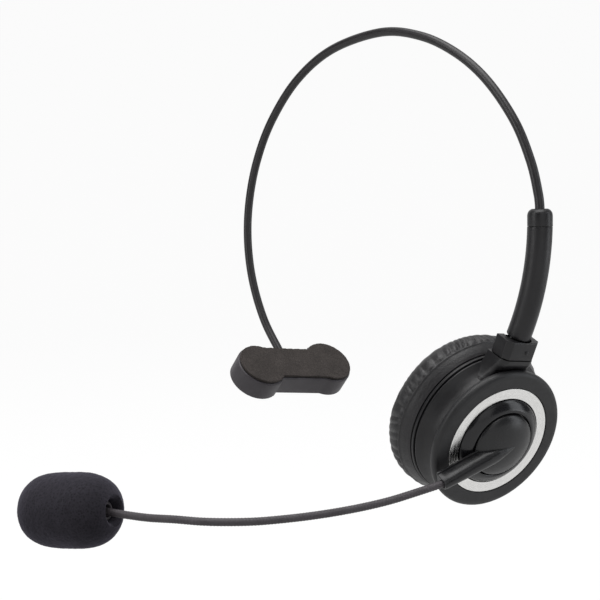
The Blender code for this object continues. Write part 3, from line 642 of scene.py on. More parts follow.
def open_foam(name, colour, size=0.62, depth=0.16, rough=0.95, sheen=0.35, tint=(0.42, 0.40, 0.50)):
    m = Mat(name, colour, rough, Sheen_Weight=sheen, Sheen_Roughness=0.55)
    m.b.inputs["Sheen Tint"].default_value = (*tint, 1)
    m.b.inputs["Specular IOR Level"].default_value = 0.25
    big, small = m.cells(size), m.cells(size * 0.45)
    # painted shade: the foam's pores are painted dark in the colour, standing in for the shade inside open cells
    pore_shade = m.math('MULTIPLY', m.ranged(big, 0.0, 1.0, 0.05, 0.55), m.ranged(small, 0.35, 1.0, 0.05, 0.5))
    shade = m.mix(m.ranged(m.noise(5.0, 4.0), 0, 1, 0.3, 0.7), tinted(colour, 0.95), tinted(colour, 1.45))
    m.paint(m.mix(pore_shade, tinted(colour, 0.30), shade))
    m.gloss(m.ranged(m.noise(1.0, 3.0), rough - 0.08, min(1.0, rough + 0.05)))
    if depth:
        m.bump(m.noise(2.4, 2.0), depth)
    return m.m


def ring_metal():
    m = Mat("brushed_trim", (0.86, 0.855, 0.84), 0.28, 1.0, Anisotropic=0.45)
    tan = m.node("ShaderNodeTangent", direction_type='RADIAL', axis='Z')
    m.link(tan.outputs[0], m.b.inputs["Tangent"])
    sep = m.node("ShaderNodeSeparateXYZ")
    m.link(m.pos, sep.inputs[0])
    x, y = sep.outputs[0], sep.outputs[1]
    r = m.math('SQRT', m.math('ADD', m.math('MULTIPLY', x, x), m.math('MULTIPLY', y, y)), 0.0)
    ang = m.math('ARCTAN2', y, x)
    vec = m.node("ShaderNodeCombineXYZ")
    m.link(r, vec.inputs[0])
    m.link(m.math('MULTIPLY', m.math('SINE', ang, 0.0), 0.0022), vec.inputs[1])
    m.link(m.math('MULTIPLY', m.math('COSINE', ang, 0.0), 0.0022), vec.inputs[2])
    grooves = m.noise(0.16, 2.0, 0.5, vec.outputs[0])
    coarse = m.noise(0.55, 3.0, 0.6, vec.outputs[0])
    m.paint(m.mix(m.ranged(grooves, 0, 1, 0.35, 0.65), (0.80, 0.795, 0.78), (0.96, 0.955, 0.94)))
    m.gloss(m.ranged(coarse, 0.17, 0.33, 0.35, 0.65))
    m.bump(grooves, 0.022)
    return m.m


def metal(name, colour, rough=0.32, grain=0.4):
    m = Mat(name, colour, rough, 1.0)
    m.paint(m.mix(m.ranged(m.noise(2.5, 4.0), 0, 1, 0.3, 0.7), tinted(colour, 0.82), tinted(colour, 1.08)))
    m.gloss(m.ranged(m.noise(1.1, 4.0), rough - 0.08, rough + 0.10))
    m.bump(m.noise(grain, 2.0), 0.006)
    return m.m


def cloth():
    m = Mat("scrim_cloth", (0.016, 0.016, 0.017), 0.9, Sheen_Weight=0.3, Sheen_Roughness=0.5)
    sep = m.node("ShaderNodeSeparateXYZ")
    m.link(m.pos, sep.inputs[0])
    k = 2 * math.pi / (0.55 * MM)
    wx = m.math('SINE', m.math('MULTIPLY', sep.outputs[0], k), 0.0)
    wy = m.math('SINE', m.math('MULTIPLY', sep.outputs[1], k), 0.0)
    weave = m.math('MULTIPLY', wx, wy)
    m.paint(m.mix(m.ranged(weave, 0, 1, -0.8, 0.8), (0.008, 0.008, 0.009), (0.026, 0.026, 0.028)))
    m.gloss(m.ranged(m.noise(1.5, 3.0), 0.82, 0.97))
    m.bump(weave, 0.05)
    return m.m


def lens():
    m = Mat("light_lens", (0.62, 0.68, 0.78), 0.16, Coat_Weight=0.4)
    m.paint(m.mix(m.ranged(m.noise(0.8, 3.0), 0, 1), (0.52, 0.58, 0.70), (0.70, 0.76, 0.84)))
    m.gloss(m.ranged(m.noise(0.5, 2.0), 0.12, 0.24))
    return m.m


def board_mat():
    m = Mat("board_green", (0.02, 0.10, 0.045), 0.45)
    tracks = m.cells(1.6, 'DISTANCE_TO_EDGE')
    m.paint(m.mix(m.ranged(tracks, 1.0, 0.0, 0.02, 0.06), (0.012, 0.075, 0.033), (0.045, 0.19, 0.085)))
    m.gloss(m.ranged(m.noise(2.0, 3.0), 0.36, 0.52))
    m.bump(tracks, 0.02)
    return m.m


FLEX, LEATHER, RING, CLOTH, LENS, BOARD = rubber(), leather(), ring_metal(), cloth(), lens(), board_mat()
FOAM = open_foam("windscreen_foam", (0.0178, 0.0160, 0.0208), 0.85, 0.10, 0.95, 0.30, (0.55, 0.52, 0.66))
PADFOAM = open_foam("pad_foam", (0.047, 0.040, 0.037), 0.40, 0.05, 0.95, 0.20, (0.5, 0.47, 0.45))
STEEL = metal("plated_steel", (0.55, 0.55, 0.56))
DARK_STEEL = metal("blackened_steel", (0.075, 0.073, 0.075), 0.42)
BRASS = metal("brass", (0.70, 0.55, 0.28))
FOIL = metal("battery_foil", (0.60, 0.61, 0.63), 0.36, 1.2)
FILM = plastic("diaphragm_film", (0.52, 0.52, 0.49), 0.3, 0.5, 0.006)

# carried-over nodes: hidden or small pieces that keep the model's own shape
KEPT = {"headband_core": STEEL, "slider_shoe": SATIN, "band_end_collar": BRASS,
        "temple_bar_cover": GREY, "arm_eye": DARK_STEEL, "swivel_core": DARK_STEEL,
        "tilt_pin": STEEL, "swivel_clip": STEEL, "circuit_board": BOARD, "battery": FOIL,
        "speaker_driver": STEEL, "speaker_diaphragm": FILM, "case_screw_a": DARK_STEEL,
        "case_screw_b": DARK_STEEL, "case_screw_c": DARK_STEEL, "call_button_switch": STEEL,
        "volume_up_button_switch": STEEL, "volume_down_button_switch": STEEL,
        "boom_hub_base": SATIN, "hub_retaining_ring": STEEL, "mic_capsule": STEEL,
        "charge_port": STEEL}
for name, mat in KEPT.items():
    ob = NODES[name]
    ob.data.materials.clear()
    ob.data.materials.append(mat)
    ob.data.shade_smooth()
    ob.data.set_sharp_from_angle(angle=math.radians(32))

# ------------------------------------------------------------------ headband
arc = [(r * math.sin(math.radians(a)), 0.0, r * math.cos(math.radians(a))) for a, r in BAND_KEYS]
tongue = [tuple(arm_at(a)[0]) for a in (87.0, 91.0, 95.0, 99.0, 103.0, 107.0, SHOE_A - 0.3)]
band = Path([point(p) / MM for p in [BAND_END - WIRE_UP * 3.0] + spline(arc + tongue, 420)])
I4 = Matrix.Identity(4)
piece("headband_cover", swept("headband_cover", band, hollow(band.length, 1.55, 1.05, 0.2, 1.0), 40, True),
      I4, COAT, "headband", ["headband_sheath"])

# ------------------------------------------------------------------ slider arm
arm = Path([point(arm_at(CAP_BOTTOM + (ARM_END + 0.1 - CAP_BOTTOM) * i / 90)[0]) / MM for i in range(91)])
piece("arm_tube", swept("arm_tube", arm, hollow(arm.length, 4.1, 2.75, 0.14, 0.8), 96, True),
      I4, ARM, "arm", ["arm_sleeve"])
cap_mid, cap_dir = arm_at((ARM_TOP + CAP_BOTTOM) / 2)
CAPF = place(cap_mid, (0, 1, 0), cap_dir.cross(Vector((0, 1, 0))) * -1, cap_dir * -1)
cap_h = math.radians(CAP_BOTTOM - ARM_TOP) * ARM_R / 2
cap_prof = rounded([(1.95, cap_h - 0.35, 0.1), (2.15, cap_h, 0.15), (2.7, cap_h - 0.05, 0.8), (3.4, cap_h - 0.5, 1.2),
                    (3.92, cap_h - 1.2, 1.5), (4.1, cap_h - 2.1, 2.0), (4.1, -cap_h + 0.13, 0.1),
                    (2.3, -cap_h + 0.13, 0.1), (2.3, -cap_h - 1.5, 0.2), (1.95, -cap_h - 1.5, 0.1)],
                   0.2, 5, True)


def seat_on_arm(rings, t, p):
    """The collar's lower face lies square to the curved arm, a hair above it."""
    top, below = (Vector(q) for q in arm.at(np.array([0.0, 0.5]))[0])
    inv = CAPF.inverted()
    q = inv @ (top * MM) / MM
    d = inv.to_3x3() @ (below - top).normalized()
    for i in range(len(p)):
        if p[i, 0] > 2.2 and -cap_h - 0.5 < p[i, 1] < -cap_h + 0.4:
            face = q.z + (-0.09 - d.x * (rings[i, :, 0] - q.x) - d.y * (rings[i, :, 1] - q.y)) / d.z
            rings[i, :, 2] = face + (p[i, 1] + cap_h - 0.13)
    return rings


piece("arm_end_cap", lathe("arm_end_cap", cap_prof, 96, True, seat_on_arm), CAPF, ARM, "arm", ["arm_cap"])

# ------------------------------------------------------------------ yoke block
block_outline = [(6.8, -3.1), (6.8, 3.1), (4.9, 5.0), (-3.4, 5.0), (-6.8, 2.4), (-6.8, -3.1),
                 (-4.9, -5.0), (4.9, -5.0)]
yoke_mesh = worked(
    outline_mesh("yoke", block_outline, BLOCK_W0, BLOCK_W1), BLK,
    cutter(box_mesh("k1", (20.0, 8.0, 4.0)),
           offset(BLK, 0, 4.64, 36.56) @ Matrix.Rotation(math.radians(-31.3), 4, 'X')),
    cutter(box_mesh("k2", (20.0, 4.0, 3.0)),
           offset(BLK, 1.0, -5.35, 37.05) @ Matrix.Rotation(math.radians(38), 4, 'X')
           @ Matrix.Rotation(math.radians(0), 4, 'Y')),
    bevel(0.42, 4, 24),
    cutter(lathe("room", [(0.0, 38.5), (4.75, 38.5), (4.75, PIN_W - 3.75), (2.05, PIN_W - 3.75),
                          (2.05, 28.0), (0.0, 28.0)], 96), AXIS),
    adder(lathe("dot", [(0.0, 0.45), (0.2, 0.44), (0.42, 0.38), (0.6, 0.25), (0.72, 0.08), (0.75, 0.0),
                        (0.75, -0.6), (0.0, -0.6)], 40),
          offset(BLK, 1.6, -5.0, 32.2) @ Matrix.Rotation(math.pi / 2, 4, 'X')))
piece("yoke_body", yoke_mesh, BLK, SATIN, "cup", ["yoke_block"], 30)

# ------------------------------------------------------------------ cup housing
housing_prof = rounded([(0.0, -3.95), (22.1, -3.95, 0.2), (22.3, -5.2, 6.0), (22.9, -7.0, 8.0),
                        (24.0, -8.9, 8.0), (25.15, -10.15, 3.0), (25.55, -10.55, 0.2), (25.7, -10.75, 0.12),
                        (25.7, -11.25, 0.12), (0.0, -11.25)], 0.2, 6)


def neck_mesh():
    keys = np.array([(16.0, 9.9, -10.75, -4.3), (20.2, 9.9, -10.75, -4.15), (20.8, 9.3, -10.75, -4.1),
                     (21.6, 8.6, -10.75, -4.0), (22.5, 8.05, -10.75, -3.75), (23.5, 7.65, -10.75, -3.4),
                     (24.6, 7.4, -10.75, -2.95), (25.5, 7.25, -10.65, -2.5), (26.3, 7.12, -10.55, -2.0),
                     (27.3, 6.95, -10.5, -1.45), (28.2, 6.85, -10.5, -1.2), (29.0, 6.75, -10.5, -1.1)])
    w = np.linspace(16.0, 29.0, 56)
    a, h0, h1 = (np.interp(w, keys[:, 0], keys[:, k]) for k in (1, 2, 3))
    k = np.ones(5) / 5
    for arr in (a, h1):
        pad = np.concatenate([[arr[0]] * 2, arr, [arr[-1]] * 2])
        arr[1:-1] = np.convolve(pad, k, 'valid')[1:-1]
    rings = []
    for i in range(len(w)):
        box = rounded([(a[i], h0[i], 0.5), (a[i], h1[i], 2.9), (-a[i], h1[i], 2.9), (-a[i], h0[i], 0.5)], 0.6, 10, True)
        rings.append([(x + AXIS_V - 0.3, w[i], h) for x, h in box])
    rings = np.array(rings)
    first = np.repeat(rings[:1].mean(1, keepdims=True), rings.shape[1], 1)
    last = np.repeat(rings[-1:].mean(1, keepdims=True), rings.shape[1], 1)
    return ring_mesh("neck", np.concatenate([first, rings, last]))


steps = [adder(neck_mesh(), CUP),
         cutter(lathe("pr", [(0.0, 3.0), (25.85, 3.0), (25.85, -3.95), (0.0, -3.95)], 192), CUP),
         cutter(lathe("in", [(0.0, -2.0), (20.5, -2.0), (20.7, -5.2), (21.3, -7.0), (22.4, -8.9),
                             (23.4, -10.2), (23.4, -12.0), (0.0, -12.0)], 96), CUP),
         cutter(lathe("cr", [(0.0, 31.0), (3.1, 31.0), (3.1, PIN_W - 7.6), (0.0, PIN_W - 7.6)], 64), AXIS)]
BUTTONS = [("call_button", "call_key", 4.0, 7.0), ("volume_up_button", "volume_up_key", -24.0, 5.0),
           ("volume_down_button", "volume_down_key", -46.0, 5.0)]


def soft_box(name, size, r, seg=5):
    sx, sy, sz = size
    out = rounded([(sx / 2, -sy / 2), (sx / 2, sy / 2), (-sx / 2, sy / 2), (-sx / 2, -sy / 2)], r, seg, True)
    return outline_mesh(name, out, -sz / 2, sz / 2)


for node, body, deg, wide in BUTTONS:
    steps.append(cutter(soft_box("w_" + node, (wide + 0.7, 3.3, 7.0), 0.75), rim_frame(deg, 22.6, -7.35)))
PORT = rim_frame(-72.0, 22.4, -7.2)
LED = rim_frame(21.0, 22.4, -7.2)
steps.append(cutter(soft_box("w_port", (9.4, 3.3, 8.0), 1.2), PORT))
steps.append(cutter(rod_mesh("w_led", 0.95, 8.0, 40), LED))


housing = worked(lathe("housing", housing_prof, 288), CUP, *steps)
piece("cup_shell", housing, CUP, SATIN, "cup", ["cup_housing"], 32)

for node, body, deg, wide in BUTTONS:
    at = offset(rim_frame(deg, 22.6, -7.35), 0, 0, 0.35)
    me = worked(soft_box("b_" + node, (wide, 2.6, 3.3), 0.7), at, bevel(0.34, 4, 50),
                adder(soft_box("f", (wide + 1.4, 2.8, 0.5), 0.3), offset(rim_frame(deg, 22.6, -7.35), 0, 0, -2.7)),
                adder(soft_box("s", (wide - 1.0, 2.0, 2.2), 0.3), offset(rim_frame(deg, 22.6, -7.35), 0, 0, -1.7)))
    co = coords(me)                                   # a shallow finger dish in the face
    face = co[:, 2] > 1.5
    co[face, 2] -= 0.16 * np.clip(1 - (co[face, 0] / (wide * 0.5)) ** 2, 0, 1)
    moved(me, co)
    piece(node + "_cap", me, at, BUTTON, body, [node], 34)
piece("status_light_lens",
      lathe("led", rounded([(0.0, 2.0), (0.35, 1.95, 0.4), (0.62, 1.7, 0.2), (0.62, -2.0, 0.1), (0.0, -2.0)], 0.2, 5), 40),
      offset(LED, 0, 0, -0.55), LENS, "cup", ["status_light"])

# ------------------------------------------------------------------ front plate and ring
plate_prof = rounded([(11.75, 2.28, 0.1), (12.0, 2.45, 0.15), (12.35, 2.42, 0.6), (12.9, 2.24, 3), (13.6, 1.86, 4),
                      (14.3, 1.38, 4), (15.0, 0.82, 2), (15.5, 0.18, 0.5), (15.6, -0.95, 0.05),
                      (19.85, -0.95, 0.05), (19.85, -0.02, 0.12), (20.15, 0.1, 0.12), (23.4, 0.1, 1.5),
                      (24.4, -0.05, 1.2), (25.05, -0.5, 0.8), (25.38, -1.15, 0.8), (25.45, -1.8, 1.0),
                      (25.3, -2.7, 0.6), (24.6, -3.3, 0.5), (22.3, -3.55), (20.1, -3.6), (20.1, -4.6),
                      (18.9, -4.6), (18.9, -2.4), (4.1, -1.6), (4.1, 0.3), (11.75, 0.3, 0.1)], 0.15, 5, True)
me = lathe("front", plate_prof, 224, True)
ob = piece("front_cover", me, CUP, [RIM, GLOSS], "cup", ["cup_front_plate"], 40)
co = coords(me)
slots = []
for f in me.polygons:
    r = np.hypot(co[f.vertices[0], 0], co[f.vertices[0], 1])
    slots.append(1 if r < 15.75 else 0)
me.polygons.foreach_set("material_index", slots)
ring_prof = rounded([(19.55, -0.12, 0.07), (19.5, -0.05, 0.05), (18.9, -0.01, 1), (17.7, 0.02, 3), (16.5, -0.01, 1),
                     (15.95, -0.05, 0.05), (15.9, -0.12, 0.07), (15.9, -0.65), (19.55, -0.65)], 0.05, 4, True)
piece("bright_ring", lathe("ring", evened(ring_prof, 0.35, True), 224, True), CUP, RING, "cup", ["accent_ring"],
      30)

# ------------------------------------------------------------------ boom hub
dome = lathe("dome", rounded([(0.0, 6.15), (2.5, 6.08, 40), (5.0, 5.72, 40), (7.4, 5.08, 40), (9.4, 4.25, 30),
                              (10.7, 3.45, 6), (11.2, 2.9, 2), (11.3, 2.3, 1), (11.3, 0.75, 0.1),
                              (10.25, 0.75, 0.1), (10.25, 2.6, 0.1), (9.0, 3.1), (6.5, 3.95), (3.5, 4.55),
                              (0.0, 4.75)], 0.2, 6), 160)
ALONG_X = Matrix.Rotation(math.pi / 2, 4, 'Y')


def neck_loft():
    """The boom's neck: a roofed rib on a narrow foot that sinks into the dome at its tip."""
    xs = np.concatenate([np.linspace(-3.0, 9.0, 34), np.linspace(9.4, NECK_END, 40)])
    rings = []
    for x in xs:
        foot = np.interp(x, [-3.0, 0.0, 4.0, 8.6, 14.0, 20.0, 25.4, NECK_END], [0.4, 1.5, 2.9, 3.75, 3.6, 3.2, 2.85, 2.7])
        top = np.interp(x, [-3.0, -1.5, 1.0, 4.0, 9.0, 16.0, 22.0, NECK_END],
                        [5.95, 6.35, 6.95, 7.4, 7.75, 8.0, 8.15, 8.2])
        roof = np.interp(x, [-3.0, -1.5, 1.0, 4.0, 9.0, 16.0, 22.0, NECK_END],
                         [0.18, 0.4, 0.7, 0.95, 1.25, 1.6, 1.95, 2.12])
        low = np.interp(x, [-3.0, 6.0, 8.6, 12.0, NECK_END], [4.9, 4.9, 3.3, 3.05, 3.05])
        step = low + np.interp(x, [-3.0, 8.6, 12.0], [0.1, 0.35, 0.5])
        wide = min(0.86 * foot, max(0.86 * foot - 0.12 * (foot - roof), roof + 0.4))
        box = [(foot, low), (foot, step - 0.08), (foot - 0.08, step)]
        for u in np.linspace(0, math.pi, 29):
            c, q = math.cos(u), math.sin(u)
            box.append((wide * math.copysign(abs(c) ** 0.92, c), step + 0.06 + (top - step - 0.06) * q ** 0.86))
        box += [(-foot + 0.08, step), (-foot, step - 0.08), (-foot, low)]
        rings.append([(x, -b, h) for b, h in box])
    rings = np.array(rings)
    centre = np.array([0.0, 0.0, 6.0])
    ray = rings[-1] - centre
    ray[:, 0] = 0
    reach = np.linalg.norm(ray, axis=1, keepdims=True)
    ray = ray / reach
    mouth = []                                       # a rounded lip, then the boom's socket
    for x, r in ((NECK_END + 0.12, reach - 0.05), (NECK_END + 0.2, reach - 0.18), (NECK_END + 0.2, BOOM_R + 0.40),
                 (NECK_END + 0.14, BOOM_R + 0.24), (NECK_END - 0.05, BOOM_R + 0.18), (NECK_END - 7.9, BOOM_R + 0.18)):
        q = centre + ray * r
        q[:, 0] = x
        mouth.append(q)
    rings = np.concatenate([rings, np.array(mouth)])
    first = np.repeat(rings[:1].mean(1, keepdims=True), rings.shape[1], 1)
    last = np.repeat(rings[-1:].mean(1, keepdims=True), rings.shape[1], 1)
    return ring_mesh("rib", np.concatenate([first, rings, last]))


hub = worked(dome, HUB, adder(neck_loft(), HUB),
             cutter(lathe("under", [(0.0, 4.62), (3.5, 4.42), (6.5, 3.85), (9.0, 3.0), (10.2, 2.55), (10.2, 0.2),
                                    (0.0, 0.2)], 128), HUB))
assert len(hub.polygons) > 15000
piece("boom_hub_shell", hub, HUB, HUBMAT, "boom", ["boom_hub_cover"], 34)

# ------------------------------------------------------------------ boom
root0 = CUP_C + HUB_DIR * (NECK_END - 6.5) + CUP_N * 6.0
root1 = CUP_C + HUB_DIR * (NECK_END - 0.5) + CUP_N * 6.0
keys = [tuple(root0), tuple(root0.lerp(root1, 0.5)), tuple(root1)] + BOOM_KEYS[1:]
boom_pts = [point(p) / MM for p in spline(keys, 700)]
boom = Path(boom_pts)
bend_s = boom.length * BEND_AT
BEND_A, BEND_B = boom.at(bend_s - 11.0)[0] * MM, boom.at(bend_s + 11.0)[0] * MM


def ribs(s, r):
    if r > 1.1:
        return r - 0.035 + 0.035 * math.cos(2 * math.pi * s / 1.05)
    return r


tube = swept("boom_tube", boom, hollow(boom.length, BOOM_R, 0.92, 0.15, 0.15, 0.0, ribs), 28, True)
ob = piece("boom_tube", tube, I4, FLEX, "boom", ["boom_sheath_rear", "boom_sheath_front"], 50, ride=False)
tuple(BEND_A)
tuple(BEND_B)
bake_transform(ob)
wire_start = boom.length * 0.03
lead = swept("boom_lead", boom, evened(rounded([(wire_start, 0.0), (wire_start, 0.55, 0.1),
                                                (boom.length, 0.55, 0.1), (boom.length, 0.0)], 0.1, 3), 0.8), 16)
ob = piece("boom_lead", lead, I4, DARK_STEEL, "boom", ["boom_wire_rear", "boom_wire_front"], 50, ride=False)
tuple(BEND_A)
tuple(BEND_B)
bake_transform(ob)

# ------------------------------------------------------------------ windscreen foam
prof = []
for i in range(121):
    a = math.pi * (0.5 - i / 120.0)
    s, c = math.sin(a), math.cos(a)
    prof.append((FOAM_R * abs(c) ** 0.76, FOAM_HALF * (abs(s) ** 0.64) * (1 if s > 0 else -1)))
prof = [p for p in prof if not (p[1] > 0 and p[0] < 4.9)]
prof[-1] = (0.0, -FOAM_HALF)
prof = ([(0.0, -11.2), (4.0, -11.2), (4.0, 10.0), (4.02, 12.6), (4.12, FOAM_HALF - 1.9), (4.35, FOAM_HALF - 1.15)]
        + prof)


def foam_shape(rings, t, p):
    flat = rings.reshape(-1, 3)
    d = (0.05 * noise(flat, 1.1, 3) + 0.05 * (hash01(*[(np.round(flat[:, k] * 997)).astype(np.int64) for k in range(3)], 5) * 2 - 1)
         + 0.12 * noise(flat, 6.0, 7))
    out = flat[:, :2] / np.maximum(np.linalg.norm(flat[:, :2], axis=1, keepdims=True), 1e-6)
    skin = np.repeat((p[:, 0] > 4.5) | (p[:, 1] < -12), rings.shape[1])
    z = flat[:, 2]
    lean = np.clip(np.abs(z) / FOAM_HALF, 0, 1) ** 4
    n = np.stack([out[:, 0] * (1 - lean), out[:, 1] * (1 - lean), np.sign(z) * lean], 1)
    edge = np.clip((FOAM_HALF - np.abs(z)) / 1.0, 0.0, 1.0)
    flat = flat + n * ((d - 0.12) * skin * (0.3 + 0.7 * edge))[:, None]
    rings = flat.reshape(rings.shape)
    for i in range(len(p)):
        if p[i, 0] == 0.0:
            rings[i] = rings[i].mean(0)
    return rings


me = lathe("foam", evened(prof, 0.36), 210, False, foam_shape)
ob = piece("windscreen", me, MIC, FOAM, "boom_tip", ["windscreen_foam"], 180)
mic_prof = rounded([(2.0, 14.3), (2.9, 14.0), (3.4, 13.1), (3.5, 10.7), (3.5, -10.0), (2.55, -10.4), (2.55, -4.2),
                    (1.2, -4.2), (1.2, 7.6), (2.0, 7.6)], 0.35, 5, True)
piece("mic_sleeve", lathe("mic", mic_prof, 80, True), MIC, GREY, "boom_tip", ["mic_housing"])

# ------------------------------------------------------------------ ear side
baffle_prof = [(0.0, -12.65), (13.2, -12.65), (13.2, -11.2), (14.2, -11.2), (14.2, -12.5), (21.5, -12.5),
               (21.5, -11.65), (26.05, -11.65, 0.12), (26.2, -11.8, 0.12), (26.2, -12.75, 0.15), (24.0, -12.75),
               (24.0, -13.4), (0.0, -13.4)]
steps = []
for k in range(5):
    a = math.radians(72 * k + 15)
    steps.append(cutter(rod_mesh("v%d" % k, 1.5, 3.0, 32), offset(CUP, 6.6 * math.cos(a), 6.6 * math.sin(a), -13.0)))
for k in range(3):
    a = math.radians(120 * k + 110)
    steps.append(cutter(rod_mesh("h%d" % k, 1.1, 4.0, 32), offset(CUP, 17.6 * math.cos(a), 17.6 * math.sin(a), -13.0)))
piece("baffle_plate", worked(lathe("baffle", rounded(baffle_prof, 0.1, 3), 192), CUP, *steps), CUP, SATIN, "cup",
      ["speaker_baffle"], 35)


def scrim_shape(rings, t, p):
    r = np.hypot(rings[:, :, 0], rings[:, :, 1])
    rings[:, :, 2] -= 0.0 * r
    return rings


piece("scrim_screen", lathe("scrim", evened(rounded([(0.0, -14.75), (15.2, -14.75, 0.1), (15.2, -15.05, 0.1),
                                                      (0.0, -15.05)], 0.1, 3), 0.8), 128), CUP, CLOTH, "cup",
      ["ear_scrim"], 60)

# The cushion: a smooth skirt, a raised seam, and a pleated roll to the face.
PLEATS = 54
skin = [(24.4, -13.1, 0.1), (26.35, -13.1, 0.25), (26.95, -13.9, 3), (27.7, -15.2, 6), (28.25, -16.45, 1.2),
        (28.6, -16.85, 0.15), (28.68, -17.12, 0.12), (28.3, -17.36, 0.1), (28.2, -17.5, 0.08), (28.36, -17.8, 0.3),
        (28.72, -18.6, 3), (28.85, -19.8, 8), (28.72, -21.5, 8), (28.3, -22.9, 8), (27.4, -24.4, 8),
        (26.1, -25.5, 8), (24.6, -26.05, 8), (22.8, -26.25, 10), (20.6, -26.3, 10), (18.6, -26.1, 8),
        (16.9, -25.5, 6), (15.5, -24.2, 5), (14.7, -22.4, 5), (14.35, -20.0, 5), (14.5, -17.8, 4), (15.2, -15.9, 3),
        (16.4, -15.2, 1), (19.5, -14.9, 1), (24.4, -14.9, 0.1)]


def cushion_shape(rings, t, p):
    rng = np.random.RandomState(11)
    jitter = np.cumsum(rng.uniform(0.55, 1.45, PLEATS))
    jitter = np.concatenate([[0], jitter]) / jitter[-1] * 2 * math.pi
    deep = rng.uniform(0.45, 1.25, PLEATS + 1)
    deep[-1] = deep[0]
    m, seg, _ = rings.shape
    h, r = p[:, 1], p[:, 0]
    # pleats start in the seam and fade over the roll's shoulder; the inner
    # edge has its own, finer gathers
    outer = np.clip((-17.3 - h) / 0.8, 0, 1) * np.clip((26.0 + h) / 5.0, 0, 1) * (r > 24)
    inner = np.clip((18.5 - r) / 3.0, 0, 1) * np.clip((-15.6 - h) / 2.0, 0, 1)
    d = np.zeros((m, seg))
    lean = 0.05 * np.sin(3 * t + 0.6) + 0.03 * np.sin(7 * t)
    for i in range(m):
        if outer[i] > 0:
            tt = (t + lean * (-17.3 - h[i]) / 5.0) % (2 * math.pi)
            k = np.searchsorted(jitter, tt, side='right') - 1
            k = np.clip(k, 0, PLEATS - 1)
            u = (tt - jitter[k]) / (jitter[k + 1] - jitter[k])
            amp = deep[k] * (1 - u) + deep[k + 1] * u
            crease = 1 - np.abs(2 * u - 1) ** 1.6       # round puff, tight crease
            d[i] += outer[i] * amp * (0.60 * crease - 0.46)
        if inner[i] > 0:
            d[i] += inner[i] * 0.12 * np.abs(np.sin(31 * t + 0.7 * np.sin(5 * t))) - inner[i] * 0.08
    # outward normal of the profile
    q = np.roll(p, -1, 0) - np.roll(p, 1, 0)
    q /= np.maximum(np.linalg.norm(q, axis=1, keepdims=True), 1e-9)
    n = np.stack([-q[:, 1], q[:, 0]], 1)
    if n[np.argmax(r), 0] < 0:
        n = -n
    flat = rings.reshape(-1, 3)
    soft = (0.16 * noise(flat, 9.0, 21) + 0.05 * noise(flat, 3.0, 23)).reshape(m, seg)
    lip = ((h > -17.45) & (h < -16.6) & (r > 27)).astype(float)
    soft = soft * np.clip((-13.2 - h) / 1.0, 0, 1)[:, None] * (1 - 0.5 * lip[:, None])
    lipwave = lip[:, None] * 0.05 * np.sin(PLEATS * t)[None, :]
    total = d + soft + lipwave
    ct, st = np.cos(t), np.sin(t)
    rings[:, :, 0] += n[:, :1] * total * ct
    rings[:, :, 1] += n[:, :1] * total * st
    rings[:, :, 2] += n[:, 1:] * total
    rings[:, :, 2] = np.maximum(rings[:, :, 2], -26.35)
    return rings


me = lathe("cushion", evened(rounded(skin, 0.3, 5, True), 0.42, True), 540, True, cushion_shape)
ob = piece("ear_pad", me, CUP, LEATHER, "cup", ["ear_cushion"], 60)


# ------------------------------------------------------------------ temple bar
def bar_outline(grow, n=44):
    r, w = BAR_LOBE + grow, BAR_WAIST + grow
    half = []
    for i in range(n + 1):
        a = math.radians(-118 + 236 * i / n)
        half.append((BAR_HALF + r * math.cos(a), r * math.sin(a)))
    neck = []
    x0, y0 = half[-1]
    for i in range(1, 12):
        t = i / 12.0
        e = t * t * (3 - 2 * t)
        neck.append((x0 * (1 - t) + BAR_FLAT * t, y0 * (1 - e) + w * e))
    neck.append((BAR_FLAT, w))
    right = half + neck
    left = [(-x, -y) for x, y in right]
    return [(x + BAR_MID_X, y + BAR_MID_Y) for x, y in right + left]


steps = [bevel(0.75, 6, 50),
         cutter(outline_mesh("room", bar_outline(-BAR_WALL), BAR_BACK + 1.5, BAR_RIM + 2.0), BAR),
         adder(box_mesh("boss", (6.4, 12.6, 6.4)), offset(BAR, 0, -7.6, -1.6)),
         cutter(lathe("slot", [(0.0, 5.5), (1.95, 5.5), (1.95, -3.4), (1.1, -3.4), (1.1, -5.0), (1.85, -5.0),
                               (1.85, -10.9), (0.0, -10.9)], 64), ENTRY)]
for s, tag in ((-1, "a"), (1, "b")):
    at = offset(BAR, BAR_MID_X + s * BAR_HALF, BAR_MID_Y, 0)
    steps.append(cutter(rod_mesh("bh" + tag, 0.95, 6.0, 32), offset(at, z=-5.0)))
    steps.append(cutter(rod_mesh("bs" + tag, 1.8, 2.0, 48), offset(at, z=BAR_BACK)))
shell = worked(outline_mesh("bar", bar_outline(0), BAR_BACK, BAR_RIM), BAR, *steps)
piece("temple_bar_case", shell, BAR, GREY, "temple_bar", ["temple_bar_shell"], 32)
pad = worked(outline_mesh("pad", bar_outline(-0.5), BAR_RIM + 0.3, PAD_FACE - 0.08), BAR, remesh(0.26, 3, 0.5))
co = coords(pad)
top = co[:, 2] > (BAR_RIM + 0.8)
rel = (co - np.array([BAR_MID_X, BAR_MID_Y, 0]))
puff = 0.10 * noise(co, 7.0, 31) + 0.05 * noise(co, 0.8, 33) + 0.03 * noise(co, 0.5, 35)
co[top, 2] += puff[top]
co[:, 2] = np.minimum(co[:, 2], PAD_FACE + 0.12)
moved(pad, co)
ob = piece("temple_cushion", pad, BAR, PADFOAM, "temple_bar", ["temple_pad"], 60)


def screw_mesh(name, profile, head_z, down):
    arms = box_mesh(name + "x", (2.0, 0.42, 0.9))
    arms2 = box_mesh(name + "y", (0.42, 2.0, 0.9))
    return worked(lathe(name, rounded(profile, 0.12, 4), 48), I4, cutter(arms, Matrix.Translation((0, 0, head_z * MM))),
                  cutter(arms2, Matrix.Translation((0, 0, head_z * MM))))


